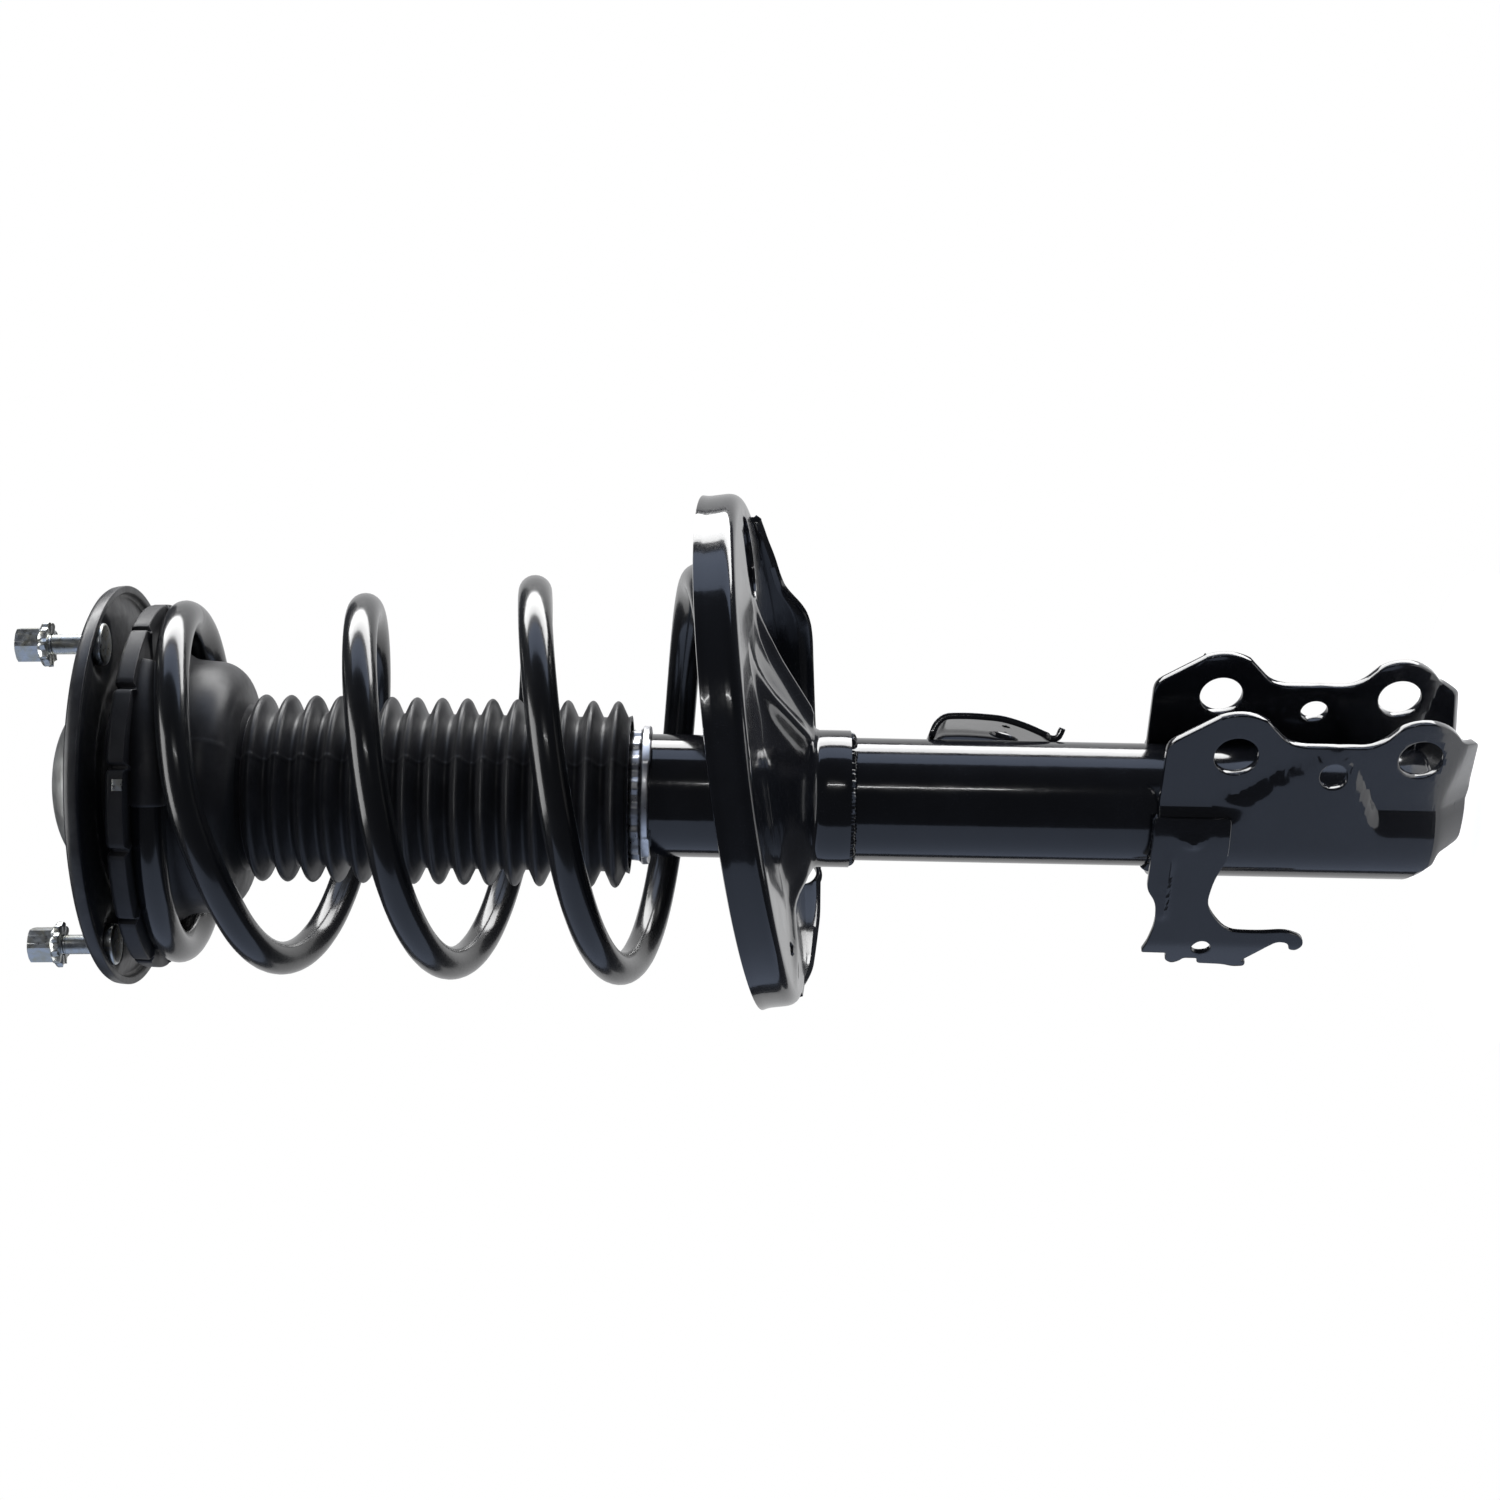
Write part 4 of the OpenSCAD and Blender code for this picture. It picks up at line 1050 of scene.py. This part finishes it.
class STRUT_OT_hose_bracket(bpy.types.Operator):
    """Brake hose bracket: a strap round the clevis, a ribbed neck and a folded foot with hooks"""
    bl_idname = "strut.hose_bracket"
    bl_label = "Hose bracket"

    def execute(self, context):
        reach = 30.35
        shape = [(14.5, -425), (-20, -425), (-27, -429.5), (-38, -430.5), (-55, -426.5), (-55.2, -437),
                 (-60.5, -437.3), (-63, -440.4), (-61, -443.6), (-58.8, -445), (-58.8, -450.5), (-62.4, -451),
                 (-63, -462), (-64.6, -466.5), (-64, -471.4), (-60.8, -471.3), (-60, -469.2), (-48.5, -479),
                 (-46.5, -482.5), (-47.3, -486.8),
                 (-51, -487.6), (-51.6, -490.6), (-48, -493.3), (-43.6, -492), (-40.8, -485), (-42, -473),
                 (-41.4, -461), (-35, -455), (-27, -450.4), (-14, -452), (-4, -456), (14.5, -456)]
        radii = [1.5, 3, 8, 14, 1.2, 1, 1.5, 2.5, 1.5, 1, 1, 1.5, 8, 2, 1.5, 1.5, 1, 2.5, 2, 2, 1.2, 2, 3,
                 3, 5, 10, 6, 8, 9, 6, 3, 1.5]
        outline = rounded(shape, radii, closed=True)
        holes = [circle(-51, -451, 4.0, 28)]
        flat = blank("hose_bracket_arm", outline, holes, 2.5, 0.45, np.arange(-62, 15, 1.7),
                     np.arange(-492, -425, 2.2))

        def strap(run, z):
            turn = np.clip(run, 0, None) / reach - math.pi / 2
            x = np.where(run > 0, reach * np.cos(turn), run)
            y = np.where(run > 0, reach * np.sin(turn), -reach)
            rib = 1.5 * np.exp(-((z + 432.4) / 1.5) ** 2)
            rib = rib * smoothstep((run + 37) / 5) * smoothstep((2 - run) / 8)
            boss = 1.3 * smoothstep(1.35 - np.hypot((run - 4.5) / 2.6, (z + 441) / 4.4))
            foot = np.clip(-47.5 - run, 0, None)
            return np.column_stack([x, y - (rib + boss) + 0.34 * foot * foot / (foot + 1.5), z])

        dress(bend(flat, strap, 30), TUBE, "black_paint", "hose_bracket")
        return {"FINISHED"}


class STRUT_OT_welds(bpy.types.Operator):
    """Rippled weld beads where the seat and the clevis meet the tube"""
    bl_idname = "strut.welds"
    bl_label = "Weld beads"

    def execute(self, context):
        r = context.scene.strut.body.tube / MM
        runs = ((-303.0, -1, 2, 174, 2.6), (-303.0, -1, 184, 356, 2.6),
                (-427.0, 1, 62, 170, 2.4), (-427.0, 1, 190, 298, 2.4))
        beads = []
        for z, side, start, end, size in runs:
            count = int((end - start) * 1.4)
            angle = np.radians(np.linspace(start, end, count))
            along = np.arange(count)
            ripple = 1 + 0.10 * np.sin(along * 1.35) + 0.08 * np.sin(along * 0.31 + z)
            taper = np.minimum(1, np.minimum(along + 1, count - along) / 6) ** 0.5
            rows = []
            for t in np.radians(np.linspace(-35, 125, 10)):
                out = r - 0.5 + size * ripple * taper * math.cos(t)
                up = z + side * (size * 0.95 * ripple * taper * math.sin(t) - 0.2)
                rows.append(polar(out, angle, up))
            rows.append(polar(r - 1, angle, z))
            n = len(rows)
            faces = grid_faces(n, count, close_rows=True, close_columns=False)
            faces += [[i * count for i in range(n)], [i * count + count - 1 for i in range(n)][::-1]]
            beads.append(make_piece("bead", np.vstack(rows), faces, 60))
        dress(join("weld_bead_runs", beads), TUBE, "black_paint", "weld_beads")
        return {"FINISHED"}


class STRUT_OT_carried_over(bpy.types.Operator):
    """Gives the frame's own parts their finishes, by each part's material slot"""
    bl_idname = "strut.carried_over"
    bl_label = "Inner parts"

    def execute(self, context):
        for row in frame["record"]["subparts"]:
            node = frame["nodes"][row["node"]]
            node.data.materials.clear()
            node.data.materials.append(finishes[row["material_slot"]])
        return {"FINISHED"}


# ---- stage ----

def soft_light(name, centre, towards, size, watts, tint):
    """Area light that the camera doesn't see, its first size along the strut where that can be."""
    light = bpy.data.lights.new(name, "AREA")
    light.shape, light.size, light.size_y = "RECTANGLE", size[0], size[1]
    light.energy, light.color = watts, tint
    lamp = add_object(name, light)
    lamp.location = centre
    aim = Vector(towards) - Vector(centre)
    strut_axis = Vector((0, 0, 1))
    back = -aim.normalized()
    across = strut_axis - back * strut_axis.dot(back)
    across = across.normalized() if across.length > 0.2 else Vector((1, 0, 0))
    up = back.cross(across)
    lamp.rotation_mode = "QUATERNION"
    lamp.rotation_quaternion = Matrix((across, up, back)).transposed().to_quaternion()
    lamp.visible_camera = False


class STRUT_OT_stage(bpy.types.Operator):
    """Pale plain floor, studio lights and the camera"""
    bl_idname = "strut.stage"
    bl_label = "Stage"

    def execute(self, context):
        scene = context.scene
        scene.view_settings.view_transform = "Standard"
        turn, roll = math.radians(36.0), math.radians(1.1)
        towards = Vector((math.sin(turn), -math.cos(turn), 0.0))
        rise = Vector((math.cos(turn), math.sin(turn), 0.0))
        down_axis = Vector((0.0, 0.0, -1.0))
        right = down_axis * math.cos(roll) + rise * math.sin(roll)
        above = rise * math.cos(roll) - down_axis * math.sin(roll)
        self.make_camera(scene, towards, right, above, rise)
        self.make_lights(towards, rise)
        self.make_world(scene)
        self.make_floor()
        return {"FINISHED"}

    def make_camera(self, scene, towards, right, above, rise):
        camera = add_object("camera", bpy.data.cameras.new("camera"))
        camera.data.lens, camera.data.sensor_width = 60.26, 36.0
        camera.data.clip_start, camera.data.clip_end = 0.02, 50.0
        spot = Vector((0, 0, -0.26145)) + rise * 0.0195 + towards * 1.042
        camera.matrix_world = Matrix.Translation(spot) @ Matrix((right, above, towards)).transposed().to_4x4()
        scene.camera = camera

    def make_lights(self, towards, rise):
        middle = Vector((0, 0, -0.27))

        def around(degrees, distance):
            a = math.radians(degrees)
            return middle + (towards * math.cos(a) + rise * math.sin(a)) * distance

        white, cool = (1.0, 1.0, 1.0), (0.62, 0.74, 1.0)
        soft_light("overhead box", around(114, 1.3), middle, (2.6, 0.56), 36, white)
        soft_light("overhead fill", around(84, 1.5), middle, (2.6, 0.6), 6, cool)
        soft_light("front strip", around(24, 1.6), middle, (0.5, 0.02), 0.9, white)
        soft_light("table", around(-84, 1.1), middle, (2.8, 1.7), 7.5, cool)
        soft_light("backdrop", around(180, 1.3), middle + Vector((0, 0, 0.15)), (1.5, 2.8), 7, white)
        left = middle + Vector((0, 0, 1.25)) + towards * 0.35
        soft_light("top end box", left, middle, (0.9, 0.9), 9, white)

    def make_world(self, scene):
        world = bpy.data.worlds.new("studio")
        scene.world = world
        world.use_nodes = True
        nodes, links = world.node_tree.nodes, world.node_tree.links
        dim, seen = nodes["Background"], nodes.new("ShaderNodeBackground")
        dim.inputs["Color"].default_value = (0.10, 0.105, 0.12, 1)
        dim.inputs["Strength"].default_value = 0.45
        seen.inputs["Color"].default_value = (1, 1, 1, 1)
        seen.inputs["Strength"].default_value = 1.0
        path, mix = nodes.new("ShaderNodeLightPath"), nodes.new("ShaderNodeMixShader")
        links.new(path.outputs["Is Camera Ray"], mix.inputs[0])
        links.new(dim.outputs[0], mix.inputs[1])
        links.new(seen.outputs[0], mix.inputs[2])
        links.new(mix.outputs[0], nodes["World Output"].inputs["Surface"])

    def make_floor(self):
        floor = lathe("floor", [(0.02, -562), (0.02, -560.5), (98, -560.5), (100, -562)], 96)
        f = Finish("pale floor", Roughness=0.9, Emission_Color=(1, 1, 1, 1), Emission_Strength=0.85)
        f.set("Base Color", f.ramp(f.noise(20, 3), (0.3, 0.80), (0.7, 0.84)))
        floor.data.materials.append(f.material)


class STRUT_PT_panel(bpy.types.Panel):
    """Lists the strut's pieces, each with its sizes"""
    bl_idname = "STRUT_PT_panel"
    bl_label = "Strut assembly"
    bl_space_type = "VIEW_3D"
    bl_region_type = "UI"
    bl_category = "Strut"

    def draw(self, context):
        layout, settings = self.layout, context.scene.strut
        for group in ("mount", "spring", "boot", "body", "finishes"):
            box = layout.box()
            box.label(text=settings.bl_rna.properties[group].name)
            values = getattr(settings, group)
            for key in values.bl_rna.properties.keys():
                if key not in ("rna_type", "name"):
                    box.prop(values, key)
        for step in STEPS:
            layout.operator(step.bl_idname, text=step.bl_label)


STEPS = (STRUT_OT_carried_over, STRUT_OT_mount_plate, STRUT_OT_studs, STRUT_OT_nuts, STRUT_OT_housing,
         STRUT_OT_insulator, STRUT_OT_spring, STRUT_OT_boot, STRUT_OT_tube, STRUT_OT_lower_seat,
         STRUT_OT_link_bracket, STRUT_OT_clevis, STRUT_OT_hose_bracket, STRUT_OT_welds, STRUT_OT_stage)
CLASSES = (StrutTopMount, StrutSpring, StrutBoot, StrutBody, StrutFinishes, StrutSettings,
           *STEPS, STRUT_PT_panel)


def register():
    for each in CLASSES:
        bpy.utils.register_class(each)
    bpy.types.Scene.strut = PointerProperty(type=StrutSettings)


def unregister():
    del bpy.types.Scene.strut
    for each in reversed(CLASSES):
        bpy.utils.unregister_class(each)


def main():
    register()
    finishes.update(make_finishes(bpy.context.scene.strut.finishes))
    for step in STEPS:
        group, name = step.bl_idname.split(".")
        getattr(getattr(bpy.ops, group), name)()
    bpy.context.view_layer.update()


if __name__ == "__main__":
    main()
